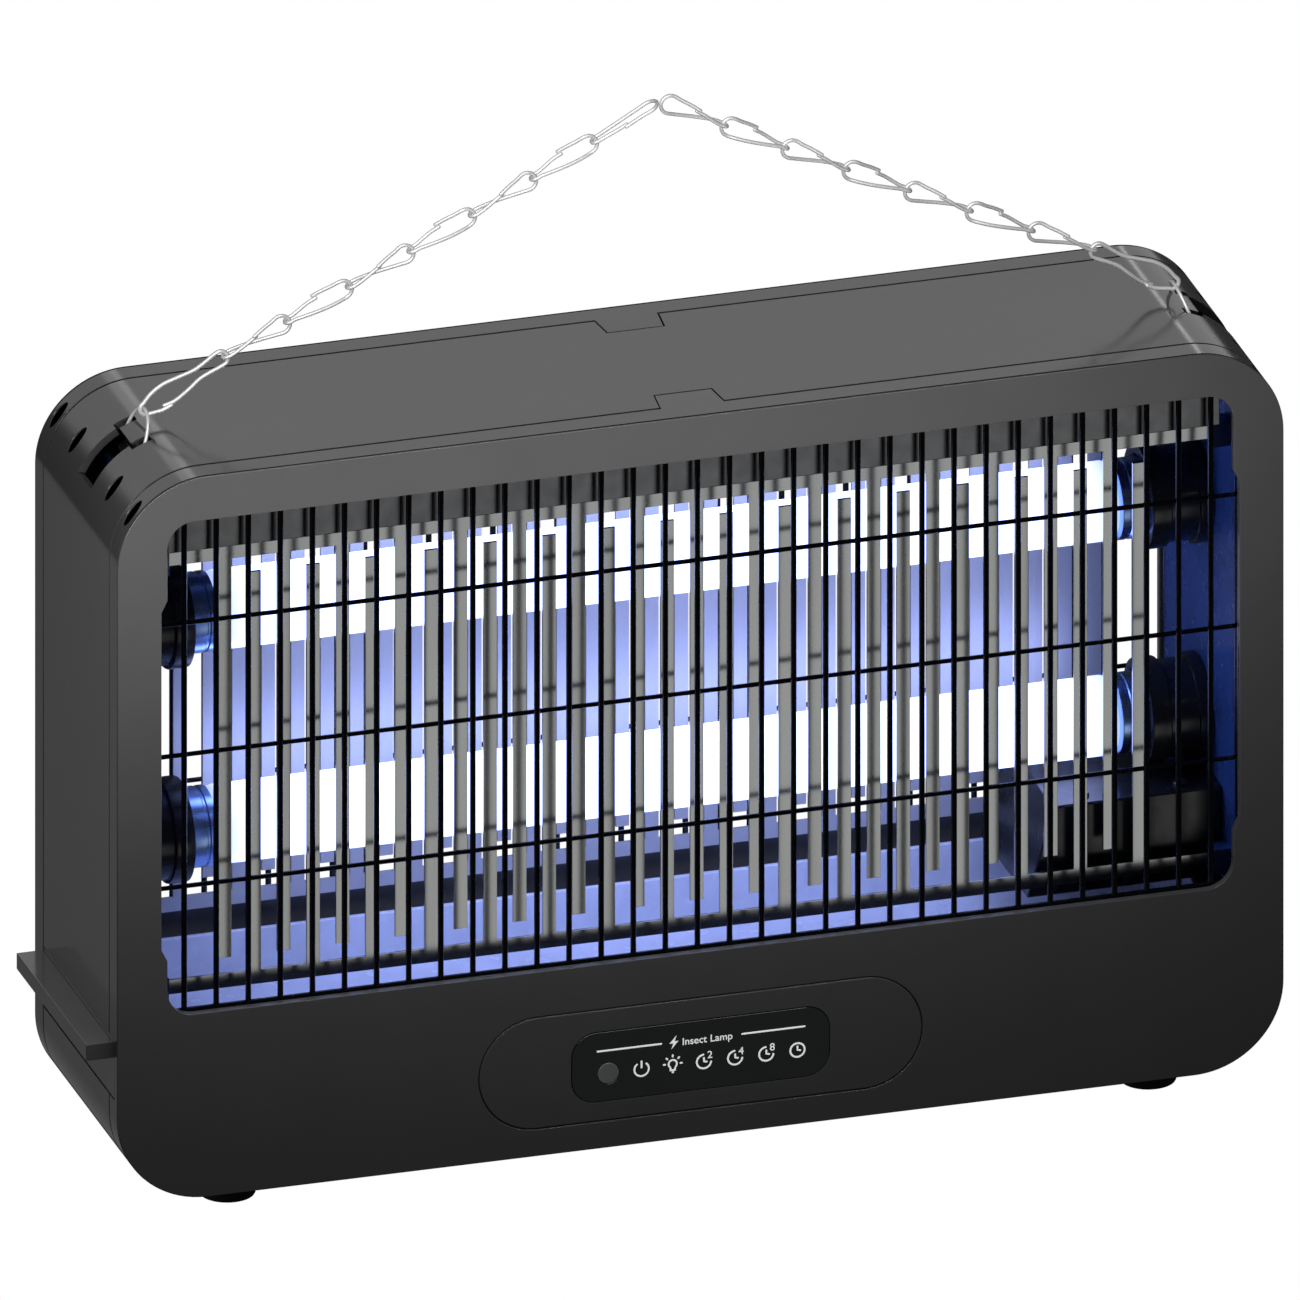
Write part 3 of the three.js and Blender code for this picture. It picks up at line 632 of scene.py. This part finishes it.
def make_band():
    """The middle shell: a band with the chain's slots, the screw holes, the notches and the feet's holes."""
    face = SEAM_FACE - SEAM_SHADOW
    half = [*fillet(SEAM_FILLET, face, 1, 2), (WALL, face)]
    profile = [(distance, -y) for distance, y in reversed(half)] + half
    bm = bmesh.new()
    first, last = rings(bm, housing_outline(), profile)
    for i in range(len(first)):
        bm.faces.new((first[i - 1], first[i], last[i], last[i - 1]))
    tools = [tray_mouth()]
    for side in (-1, 1):
        tools.append(corner_wedge(side, SLOT["from"], SLOT["to"], -SLOT["half"], SLOT["half"]))
        tools.append(corner_wedge(side, NOTCH["from"], NOTCH["to"], SLOT["half"] - 1, NOTCH["half"]))
        tools.append(corner_wedge(side, NOTCH["from"], NOTCH["to"], -NOTCH["half"], 1 - SLOT["half"]))
        tools.append(screw_hole(side, SCREW_ROWS["band_front"]))
        tools.append(screw_hole(side, SCREW_ROWS["band_rear"]))
        notch = tab(GAP + SEAM_SHADOW, TOP - 2 * WALL, TOP + WALL, 0)
        bmesh.ops.transform(notch, matrix=Matrix.Diagonal((1, side, 1, 1)), verts=notch.verts)
        tools.append(notch)
        for end in ("front", "rear"):
            low, high = node_box(f"foot_{end}_{'left' if side < 0 else 'right'}")
            centre = (low + high) / 2 - MIDDLE
            hole = bmesh.new()
            turned(hole, [(0, 3), (2.9, 3), (2.9, 11), (0, 11)], Matrix.Translation((centre.x, centre.y, 0)))
            tools.append(hole)
    finished(combined(bm, tools), "middle_shell", SHELL, "shell", "centre_band")


def make_screws():
    """A black sleeve of painted shade in each oval hole, so the hole looks dark inside, with a cross-head
    screw in it.
    """
    shade_wells = bmesh.new()
    screws = bmesh.new()
    middle = (SCREW_HOLE["from"] + SCREW_HOLE["to"]) / 2
    outline = rounded_rect(-1.5, 1.5, -1.5, 1.5, 1.5, 8)
    a, b = 0.9, 0.28
    cross = [
        (b, -a), (b, -b), (a, -b), (a, b), (b, b), (b, a),
        (-b, a), (-b, b), (-a, b), (-a, -b), (-b, -b), (-b, -a),
    ]
    for side in (-1, 1):
        for y in SCREW_ROWS.values():
            mouth = radial(side, middle, CORNER, y)
            # The sleeve is painted shade: black from just under the hole's mouth inwards.
            wall = [(0.3, 4.2), (0.3, 0.5), (0.03, 0.5), (0.03, 4.5)]
            shade_well = rings(shade_wells, screw_hole_outline(), wall, mouth)
            shade_wells.faces.new(shade_well[0])
            shade_wells.faces.new(shade_well[1])
            place = radial(side, middle, CORNER - WALL - 0.8, y)
            head = rings(screws, outline, [(0, 3), (0, 0.5), (0.15, 0.2), (0.5, 0)], place)
            recess = rings(screws, cross, [(0, 0), (0.1, 0.8)], place)
            cap(screws, head[1], recess[0])
            screws.faces.new(recess[1])
            screws.faces.new(head[0])
    finished(shade_wells, "painted_shade_screw_wells", GUARD_AND_SHADE_BLACK, "guard")
    finished(screws, "case_screws", GUARD_AND_SHADE_BLACK, "guard")


# ---------------------------------------------------------------- guards, headers and combs


def make_guard(end, side):
    """Upright wires welded into a wire frame, and the cross wires behind them."""
    half, low, high, wire = (GUARD[key] for key in ("half_width", "low", "high", "wire"))
    y = -side * GUARD["y"]
    bm = bmesh.new()
    centre = wire
    outline = rounded_rect(-half + centre, half - centre, low + centre, high - centre, 4, 5)
    tube(bm, [(x, y, z) for x, z in outline], wire, 12, closed=True)
    for i in range(GUARD["bars"]):
        x = (i - (GUARD["bars"] - 1) / 2) * GUARD["pitch"]
        tube(bm, [(x, y, low + centre), (x, y, (low + high) / 2), (x, y, high - centre)], wire, 12)
    finished(bm, f"{end}_guard", GUARD_AND_SHADE_BLACK, "guard", f"{end}_guard_bars")

    behind = -side * (GUARD["y"] - wire - GAP - CROSS_WIRE_RADIUS)
    bm = bmesh.new()
    reach = half - 0.5 - CROSS_WIRE_RADIUS
    for z in CROSS_WIRES:
        tube(bm, [(-reach, behind, z), (0, behind, z), (reach, behind, z)], CROSS_WIRE_RADIUS, 12)
    for x in (-reach, reach):
        tube(bm, [(x, behind, CROSS_WIRES[0]), (x, behind, CROSS_WIRES[1]), (x, behind, CROSS_WIRES[2])],
             CROSS_WIRE_RADIUS, 12)
    finished(bm, f"{end}_cross_wires", GUARD_AND_SHADE_BLACK, "guard", f"{end}_guard_wires")


def comb_outline(from_top, side):
    """One comb's outline: the rear ones are the front ones turned round."""
    outline = front_comb_outline(from_top)
    return outline if side > 0 else [(-x, z) for x, z in reversed(outline)]


def front_comb_outline(from_top):
    """A rail and every second strip, anticlockwise."""
    half, width = COMB["half_width"], COMB["strip"] / 2
    centres = [COMB["left"] + i * COMB["pitch"] for i in range(0 if from_top else 1, COMB_STRIPS, 2)]
    if from_top:
        rail_low, rail_high = COMB_TOP_RAIL
        tip = COMB_LOW_RAIL[1] + COMB_FREE_END
        teeth = [
            (x + dx, z)
            for x in centres
            for dx, z in ((-width, rail_low), (-width, tip), (width, tip), (width, rail_low))
        ]
        return [(-half, rail_low), *teeth, (half, rail_low), (half, rail_high), (-half, rail_high)]
    rail_low, rail_high = COMB_LOW_RAIL
    tip = COMB_TOP_RAIL[0] - COMB_FREE_END
    teeth = [
        (x + dx, z)
        for x in reversed(centres)
        for dx, z in ((width, rail_high), (width, tip), (-width, tip), (-width, rail_high))
    ]
    return [(-half, rail_low), (half, rail_low), (half, rail_high), *teeth, (-half, rail_high)]


def make_grids():
    for end, side in (("front", 1), ("rear", -1)):
        make_guard(end, side)
        y = -side * COMB["y"]
        for level, from_top in (("upper", True), ("lower", False)):
            bm = bmesh.new()
            plate(bm, comb_outline(from_top, side), y - COMB["half_thick"], y + COMB["half_thick"], 0.1)
            # The rear combs wear a copy of the comb metal tuned to how light falls on them: painted light.
            metal = COMB_METAL if end == "front" else REAR_COMB_LIGHTING_COPY
            finished(bm, f"{end}_comb_{level}_half", metal, "comb", f"{end}_comb_{level}")
        finished(softened(f"{end}_header", 0.3), f"{end}_header_strip", HEADER, "gloss", f"{end}_header")


# ---------------------------------------------------------------- lamps and their carriers


def along_x(side, z):
    """Places a body of revolution on a lamp's axis, its Z pointing to that end."""
    return Matrix.Translation((0, 0, z)) @ Matrix.Rotation(side * math.radians(90), 4, "Y")


def make_lamp_end(bm, side, z):
    """The pressed metal cap with its bead and insulating disc, and the two pins."""
    r = LAMP_RADIUS + 0.2
    place = along_x(side, z)
    turned(bm, [
        (0, 151.2), (r - 0.5, 151.2), (r - 0.1, 151.35), (r, 151.8), (r, 153.6), (r - 0.35, 154.0),
        (r - 0.35, 154.6), (r, 155.0), (r, 163.2), (r - 0.4, 164.2), (r - 1.3, 164.9), (9.4, 165),
        (9.4, 164.5), (0, 164.5),
    ], place, 64)
    for offset in (-6.35, 6.35):
        pin = place @ Matrix.Translation((-offset, 0, 0))
        turned(bm, [(0, 163), (1.2, 163), (1.2, 170.6), (0.9, 171.3), (0.4, 171.5), (0, 171.5)], pin, 20)


def make_lamps():
    for level, z in LAMP_HEIGHTS.items():
        body = f"lamp_{level}"
        r = LAMP_RADIUS
        half = [(r, 0), (r, 75), (r, 148.4), (r - 0.3, 149.6), (r - 1.2, 150.4), (r - 2.4, 150.6), (0, 150.6)]
        profile = [(radius, -x) for radius, x in reversed(half)] + half[1:]
        bm = bmesh.new()
        turned(bm, profile, along_x(1, z), 64)
        finished(bm, f"{body}_glass", GLASS, "glass", f"{body}_tube", body=body)
        for end, side in (("left", -1), ("right", 1)):
            bm = bmesh.new()
            make_lamp_end(bm, side, z)
            # The caps' blue tint is painted reflection of the lamps' blue glow.
            finished(bm, f"{body}_end_{end}", LAMPLIT_BLUE_CAP_METAL, "cap", f"{body}_cap_{end}", body=body)
            bm = bmesh.new()
            turned(bm, [
                (0, 171.8), (9, 171.8), (9, 165.3), (13.8, 165.3), (13.8, 160.6), (14.3, 160.1), (14.9, 160),
                (16.6, 160), (17.1, 160.2), (17.25, 160.8), (17.25, 166.2), (17.05, 166.6), (16.1, 166.7),
                (15.9, 167), (15.9, 175.6), (16.1, 176), (17.05, 176.1), (17.25, 176.5), (17.25, 180.3),
                (0, 180.3),
            ], along_x(side, z), 72)
            finished(bm, f"holder_{level}_{end}", INNER, "inner", f"lampholder_{level}_{end}")
    for end in ("left", "right"):
        plate_node = f"end_plate_{end}"
        # The end plates wear painted blue lamp light in their colour.
        finished(softened(plate_node, 0.4), f"side_wall_{end}", LAMPLIT_BLUE_SIDE_WALL, "inner", plate_node)
    make_roof()


def make_roof():
    """The thin sheet over the lamps that keeps their light out of the top of the housing."""
    x, y = ROOF["half_width"], ROOF["half_depth"]
    bm = bmesh.new()
    lying = Matrix.Rotation(math.radians(90), 4, "X")
    plate(bm, rounded_rect(-x, x, -y, y, 3, 6), -ROOF["high"], -ROOF["low"], 0.15, matrix=lying.inverted())
    finished(bm, "lamp_bay_roof", INNER, "inner")


# ---------------------------------------------------------------- electrics and the control panel


def strokes(bm, paths, centre, radius):
    """Draws paths of points as rounded lines in the plane of X and Z, round a centre."""
    for points, closed in paths:
        route = [(centre[0] + x, 0, centre[1] + z) for x, z in points]
        tube(bm, route, radius, 8, closed)


def clock(gap_from, gap_to):
    """A dial with its two hands, open between two angles where a digit stands."""
    start, end = gap_to, gap_from + 360
    return [
        (arc(0, 0, 2.4, start, end, 24), False),
        ([(0, 1.5), (0, 0.75), (0, 0), (0.6, -0.1), (1.2, -0.2)], False),
    ]


def lettering(bm, text, x, z, size):
    """Plain characters, standing in the plane of X and Z and facing the front."""
    curve = bpy.data.curves.new("lettering", "FONT")
    curve.body = text
    curve.size = size
    curve.align_x = "CENTER"
    curve.extrude = 0.25
    curve.offset = 0.03
    helper = bpy.data.objects.new("lettering", curve)
    bpy.context.scene.collection.objects.link(helper)
    bpy.context.view_layer.update()
    mesh = bpy.data.meshes.new_from_object(helper.evaluated_get(bpy.context.evaluated_depsgraph_get()))
    mesh.transform(Matrix.Translation((x, 0, z)) @ Matrix.Rotation(math.radians(90), 4, "X"))
    bm.from_mesh(mesh)
    bpy.data.objects.remove(helper)


def make_marks():
    """The printed marks of the touch label: two lines, a bolt, and one sign for each touch key."""
    line = 0.32
    bm = bmesh.new()
    title = LABEL["z"] + 5.5
    for x0, x1 in ((-34.8, -13), (13.6, 35)):
        strokes(bm, [([(x0, 0), ((x0 + x1) / 2, 0), (x1, 0)], False)], (0, title), line)
    bolt = [(0.9, 2.4), (-1.5, -0.3), (-0.2, -0.3), (-0.9, -2.4), (1.5, 0.4), (0.2, 0.4)]
    plate(bm, [(x - 9, z + title) for x, z in bolt], -line, line, 0.05)
    lettering(bm, "Insect Lamp", 2.2, title - 1.3, 3.5)

    row = SENSOR["z"]
    keys = [SENSOR["x"] + FIRST_KEY + KEY_PITCH * i for i in range(6)]
    power = [(arc(0, 0, 2.4, 125, 415, 26), False), ([(0, 3.0), (0, 1.6), (0, 0.3)], False)]
    strokes(bm, power, (keys[0], row), line)
    bulb = [
        (arc(0, 0.5, 1.4, -55, 235, 18), False),
        ([(0.8, -0.65), (0.75, -1.4), (0.7, -2.0)], False),
        ([(-0.8, -0.65), (-0.75, -1.4), (-0.7, -2.0)], False),
        ([(-0.6, -1.7), (0, -1.7), (0.6, -1.7)], False),
        ([(-0.4, -2.4), (0, -2.45), (0.4, -2.4)], False),
    ]
    for degrees in (0, 45, 90, 135, 180):
        ray = [arc(0, 0.5, r, degrees, degrees, 1)[0] for r in (2.3, 2.8, 3.3)]
        bulb.append((ray, False))
    strokes(bm, bulb, (keys[1], row), line)
    for x, text in zip(keys[2:5], "248"):
        strokes(bm, clock(0, 88), (x, row), line)
        lettering(bm, text, x + 2.0, row + 1.0, 3.6)
    strokes(bm, [(arc(0, 0, 2.4, 0, 345, 23), True), clock(0, 88)[1]], (keys[5], row), line)

    face = Matrix.Translation((0, -HALF_DEPTH, 0)) @ Matrix.Diagonal((1, 0.25, 1, 1))
    bmesh.ops.transform(bm, matrix=face, verts=bm.verts)
    finished(bm, "label_print", PRINT, "glass")


def make_panel():
    """The capsule plate, the glossy label let into it, and the sensor's window."""
    face = -HALF_DEPTH
    half, height, r, z, thick = (LABEL[key] for key in ("half_width", "half_height", "radius", "z", "thick"))

    def label(grow):
        return rounded_rect(-half - grow, half + grow, z - height - grow, z + height + grow, r + grow, 16)

    bm = bmesh.new()
    front = fillet(0.5, face, -1, 4)
    flange = [(-2.6, face + 4), (-2.6, face + 2.8), (0, face + 2.8)]
    outer = rings(bm, capsule(), [*flange, *front])
    recess = rings(bm, label(GAP), outward([*reversed(fillet(0.2, face, -1, 2)), (0, face + thick + GAP)]))
    cap(bm, outer[1], recess[0])
    cap(bm, recess[1])
    cap(bm, outer[0])
    finished(bm, "panel_plate", SHELL, "shell", "control_plate")

    bm = bmesh.new()
    hole = [tuple(p) for p in arc(SENSOR["x"], SENSOR["z"], SENSOR["radius"] + GAP / 2, 0, 352.5, 47)]
    plate(bm, label(0), face, face + thick, 0.15, [hole])
    finished(bm, "label_lens", GLOSS, "gloss", "touch_lens")
    bm = bmesh.new()
    disc = arc(SENSOR["x"], SENSOR["z"], SENSOR["radius"], 0, 352.5, 47)
    plate(bm, disc, face + 0.02, face + thick, 0.2)
    finished(bm, "sensor_disc", SENSOR_GREY, "inner", "sensor_window")
    make_marks()


def make_electrics():
    cover = softened("electronics_cover", 0.8, 3)
    low, high = node_box("electronics_cover")
    for x in (high.x - MIDDLE.x - 12, low.x - MIDDLE.x + 20):
        for y in (low.y + 6, high.y - 6):
            place = Matrix.Translation((x, y, high.z))
            head = [(0, -1), (2.6, -1), (2.6, 0.6), (2.2, 1.1), (0.9, 1.2), (0.7, 0.5), (0, 0.5)]
            turned(cover, head, place, 28)
    finished(cover, "electronics_hood", INNER, "inner", "electronics_cover")
    finished(softened("high_voltage_module", 0.8), "voltage_block", GLOSS, "gloss", "high_voltage_module")
    finished(softened("driver_board", 0.2), "lamp_driver", BOARD, "board", "driver_board")
    finished(softened("control_board", 0.15), "touch_board", BOARD, "board", "control_board")
    finished(softened("mains_inlet", 0.3), "power_inlet", INNER, "inner", "mains_inlet")
    for end in ("left", "right"):
        bracket = f"hanger_bracket_{end}"
        finished(softened(bracket, 0.3), f"saddle_{end}", INNER, "inner", bracket)


# ---------------------------------------------------------------- feet and tray


def make_feet():
    for end in ("front", "rear"):
        for side in ("left", "right"):
            node = f"foot_{end}_{side}"
            low, high = node_box(node)
            centre = (low + high) / 2 - MIDDLE
            bm = bmesh.new()
            turned(bm, [
                (0, 0.5), (4.2, 0.5), (4.6, 0.3), (4.8, 0), (8.3, 0), (8.9, 0.25), (9.2, 0.8), (9.8, 4.6),
                (9.75, 5.3), (9.3, 5.7), (2.6, 5.7), (2.6, 10.6), (2.2, 11.6), (1.4, 12), (0, 12),
            ], Matrix.Translation((centre.x, centre.y, 0)), 40)
            finished(bm, f"{end}_foot_{side}", RUBBER, "rubber", node)


def make_tray():
    # The pan wears painted lamp light: pale blue-white over dark grey plastic.
    finished(softened("tray_pan", 0.5, 3), "catch_tray", LAMPLIT_PALE_TRAY, "tray", "tray_pan", body="tray")
    handle = softened("tray_handle", 0.7, 3)
    low, high = node_box("tray_handle")
    lip_under = 56.8
    start = low.x - MIDDLE.x
    for i in range(3):
        x = start + 2.0 + 1.8 * i
        tube(handle, [(x, low.y + 8, lip_under), (x, 0, lip_under), (x, high.y - 8, lip_under)], 0.45, 8)
    finished(handle, "tray_grip", SHELL, "shell", "tray_handle", body="tray")
    finished(softened("tray_deck", 0.3), "tray_runner", INNER, "inner", "tray_deck")


# ---------------------------------------------------------------- chain


def ring_route():
    """The bail's wire: a straight leg along Y, in two parts that meet in its middle, and a bow."""
    bend, half_width, reach = RING["bend"], RING["half_width"], RING["reach"]
    half = [(0, 0, 0.25), (0, 0, half_width - 2 * bend), (0.25 * bend, 0, half_width - 0.55 * bend)]
    bow = [
        (bend + d * (reach - bend) / half_width, 0, y - bend)
        for y, d in arc(bend, 0, half_width, 0, 180, 10)
    ]
    return [*half, *bow, *[(u, w, -y) for u, w, y in reversed(half)]]


def hook_route():
    """The hook link's wire: a pear-shaped loop whose two ends lie side by side."""
    far = HOOK["length"] + NEST - 2.6
    lap = 2 * HOOK["wire"] + GAP
    route = [
        (8.4, -4.1), (4.5, -3.7), *arc(2.2 - NEST, 0, 2.2, 270, 90, 6),
        (4.5, 3.6), (9, 4), (15, 2.9), (20, 1.9), (23.5, 2), *arc(far, 0, 2.6, 75, -75, 5),
        (23.5, -2), (20, -1.9), (15, -2.9), (9, -3.9, lap / 2), (5.4, -3.5, lap),
    ]
    return [(*point, 0)[:3] for point in route]


def link_route(length, twist, hand):
    """A small link: a narrow eye across Y, strands that turn over evenly, and a wide eye.

    The wire's two ends lie side by side on the upper strand. The hand is the way the strands turn.
    """
    narrow, wide = LINK["narrow"], LINK["wide"]
    strand_start = 3.3
    far_centre = length - wide
    turn = math.radians(twist)

    def place(u, side, out=0.0):
        share = min(1, max(0, (u - strand_start) / (far_centre - strand_start)))
        half = narrow + (wide - narrow) * share + out
        return (u, side * half * math.sin(turn * share), hand * side * half * math.cos(turn * share))

    near_eye = [(u, 0, hand * y) for u, y in arc(narrow, 0, narrow, 90, 270, 5)]
    far_eye = [
        (u, w * math.sin(turn), hand * w * math.cos(turn))
        for u, w in arc(far_centre, 0, wide, -90, 90, 6)
    ]
    first = [place(13, 1, -0.45), place(9.4, 1), place(6.3, 1), place(strand_start, 1)]
    lower = [place(u, -1) for u in (strand_start, 6.3, 9.4, 12.4, 15.4, 18.6)]
    last = [place(18.6, 1), place(15.4, 1, 0.4), place(11.4, 1, 1)]
    return [*first, *near_eye, *lower, *far_eye, *last]


def chain_places():
    """The left half's pieces as (name, pivot, direction in degrees, length), from the frame's joints."""
    names = ["chain_ring", "chain_hook", *[f"chain_link_{i + 1}" for i in range(LINK["count"])]]
    joints = {joint["child"]: joint for joint in frame["joints"]}
    pivots = [Vector(joints[f"{name}_left_body"]["pos_m"]) / MM - MIDDLE for name in names]
    places = []
    for i, name in enumerate(names):
        if i < len(names) - 1:
            step = pivots[i + 1] - pivots[i]
            places.append((name, pivots[i], math.degrees(math.atan2(step.z, step.x)), step.length))
        else:
            _, _, angle, length = places[-1]
            places.append((name, pivots[i], angle + LINK["angle_step"], length))
    return places


def make_chain():
    places = chain_places()
    last_name = places[-1][0]
    for half, side in (("left", 1), ("right", -1)):
        for i, (name, pivot, degrees, length) in enumerate(places):
            if name == "chain_ring":
                route, radius = [(u, y, w) for u, w, y in ring_route()], RING["wire"]
            elif name == "chain_hook":
                route, radius = [(u, y, w) for u, w, y in hook_route()], HOOK["wire"]
            else:
                twist = 0 if half == "left" and name == last_name else 90
                hand = -1 if i % 2 == 0 else 1
                route = [(u, y, w) for u, w, y in link_route(length + NEST, twist, hand)]
                radius = LINK["wire"]
            lie = Matrix.Translation(pivot) @ Matrix.Rotation(-math.radians(degrees), 4, "Y")
            placed = [lie @ Vector(point) for point in route]
            if side < 0:
                placed = [Vector((-p.x, p.y, p.z)) for p in placed]
            bm = bmesh.new()
            tube(bm, smooth_route(placed, 4), radius, 12)
            node = f"{name}_{half}"
            piece = f"{name.removeprefix('chain_')}_{half}"
            wire = finished(bm, piece, ZINC, "steel", node, body=f"{node}_body", sharp=60)
            wire.visible_shadow = False


# ---------------------------------------------------------------- light and camera


def area_light(name, place, aim, size, power):
    light = bpy.data.lights.new(name, "AREA")
    light.shape = "RECTANGLE"
    light.size, light.size_y = size
    light.energy = power
    lamp = bpy.data.objects.new(name, light)
    bpy.context.scene.collection.objects.link(lamp)
    lamp.location = place
    lamp.rotation_mode = "QUATERNION"
    lamp.rotation_quaternion = (Vector(aim) - Vector(place)).to_track_quat("-Z", "Y")
    lamp.visible_camera = False
    return lamp


def make_world(fill):
    """Plain white behind the object, and a dim even fill for its surfaces."""
    world = bpy.data.worlds.new("studio")
    bpy.context.scene.world = world
    world.use_nodes = True
    tree = world.node_tree
    background = tree.nodes["Background"]
    path = tree.nodes.new("ShaderNodeLightPath")
    level = tree.nodes.new("ShaderNodeMapRange")
    level.inputs["To Min"].default_value = fill
    level.inputs["To Max"].default_value = 1.0
    tree.links.new(path.outputs["Is Camera Ray"], level.inputs["Value"])
    tree.links.new(level.outputs["Result"], background.inputs["Strength"])
    background.inputs["Color"].default_value = (1, 1, 1, 1)


def make_floor():
    bm = bmesh.new()
    bmesh.ops.create_grid(bm, x_segments=1, y_segments=1, size=6)
    mesh = bpy.data.meshes.new("floor")
    bm.to_mesh(mesh)
    bm.free()
    material, _, shader = nodes_of("floor")
    shader.inputs["Base Color"].default_value = (0, 0, 0, 1)
    shader.inputs["Specular IOR Level"].default_value = 0
    shader.inputs["Emission Color"].default_value = (1, 1, 1, 1)
    shader.inputs["Emission Strength"].default_value = 1.0
    mesh.materials.append(material)
    floor = bpy.data.objects.new("floor", mesh)
    bpy.context.scene.collection.objects.link(floor)
    floor.visible_diffuse = False
    floor.visible_glossy = False
    floor.visible_shadow = False


def lights_only(lamp, *finishes):
    """Keeps a light to the pieces that wear the finishes."""
    group = bpy.data.collections.new(f"{lamp.name}_pieces")
    for piece in bpy.context.scene.objects:
        if piece.type == "MESH" and piece.active_material in finishes:
            group.objects.link(piece)
    lamp.light_linking.receiver_collection = group


# The narrow cards behind the object whose reflections streak the rounded shoulders:
# name, place across, width, power.
STREAKS = (
    ("streak_left", 0.2, 0.2, 1.0),
    ("streak_middle", -0.02, 0.2, 0.6),
    ("streak_right", 1.1, 0.07, 0.8),
)


def make_studio():
    make_world(0.03)
    make_floor()
    overhead = area_light("overhead", (-0.1, 0, 1.6), (-0.1, 0, 0), (0.9, 0.9), 5)
    lights_only(overhead, SHELL, RUBBER, GLOSS, PRINT, SENSOR_GREY)
    back = area_light("back_card", (0.2, 2.6, 1.15), (0.1, 0, 0.3), (3.6, 1.6), 13.5)
    lights_only(back, SHELL)
    for name, x, width, power in STREAKS:
        streak = area_light(name, (x, 2.5, 1.2), (x - 0.2, 0, 0.3), (width, 1.5), power)
        lights_only(streak, SHELL)
    side = area_light("side_card", (-0.75, 2.3, -1.0), (-0.195, 0, 0.15), (1.8, 0.7), 0.55)
    lights_only(side, SHELL)
    strip = area_light("front_strip", (-0.07, -0.185, 0.255), (-0.055, 0, 0.255), (0.52, 0.02), 0.55)
    lights_only(strip, SHELL)
    area_light("left_fill", (-1.4, 0.1, -0.3), (0, 0.1, 0.15), (1.0, 1.0), 0.85)
    card = area_light("front_card", (0.4, -1.3, -0.45), (0, 0, 0.15), (0.6, 0.6), 0.95)
    lights_only(card, COMB_METAL, INNER, HEADER, LAMPLIT_BLUE_CAP_METAL, GLASS, LAMPLIT_PALE_TRAY)
    label_key = area_light("label_key", (0, -1.5, 0.5), (0, 0, 0.03), (1.0, 1.0), 20)
    lights_only(label_key, PRINT, SENSOR_GREY, GLOSS)
    chain_key = area_light("chain_key", (-0.6, -1.2, 1.2), (0, 0, 0.3), (2, 2), 45)
    lights_only(chain_key, ZINC)
    chain_back = area_light("chain_back", (0.5, -0.6, -0.9), (0, 0, 0.3), (1.4, 1.4), 9)
    lights_only(chain_back, ZINC)


def make_camera():
    target = Vector((0.0016, 0, 0.1572))
    azimuth, elevation = math.radians(-16.92), math.radians(23.8)
    back = Vector((
        math.sin(azimuth) * math.cos(elevation),
        -math.cos(azimuth) * math.cos(elevation),
        math.sin(elevation),
    ))
    data = bpy.data.cameras.new("camera")
    data.type = "ORTHO"
    data.ortho_scale = 0.416
    data.clip_start, data.clip_end = 0.01, 20
    camera = bpy.data.objects.new("camera", data)
    bpy.context.scene.collection.objects.link(camera)
    camera.location = target + back * 1.5
    camera.rotation_mode = "QUATERNION"
    camera.rotation_quaternion = (-back).to_track_quat("-Z", "Y")
    bpy.context.scene.camera = camera


make_shells()
make_screws()
make_grids()
make_lamps()
make_electrics()
make_panel()
make_feet()
make_tray()
make_chain()

make_camera()
make_studio()
bpy.context.scene.view_settings.view_transform = "Standard"
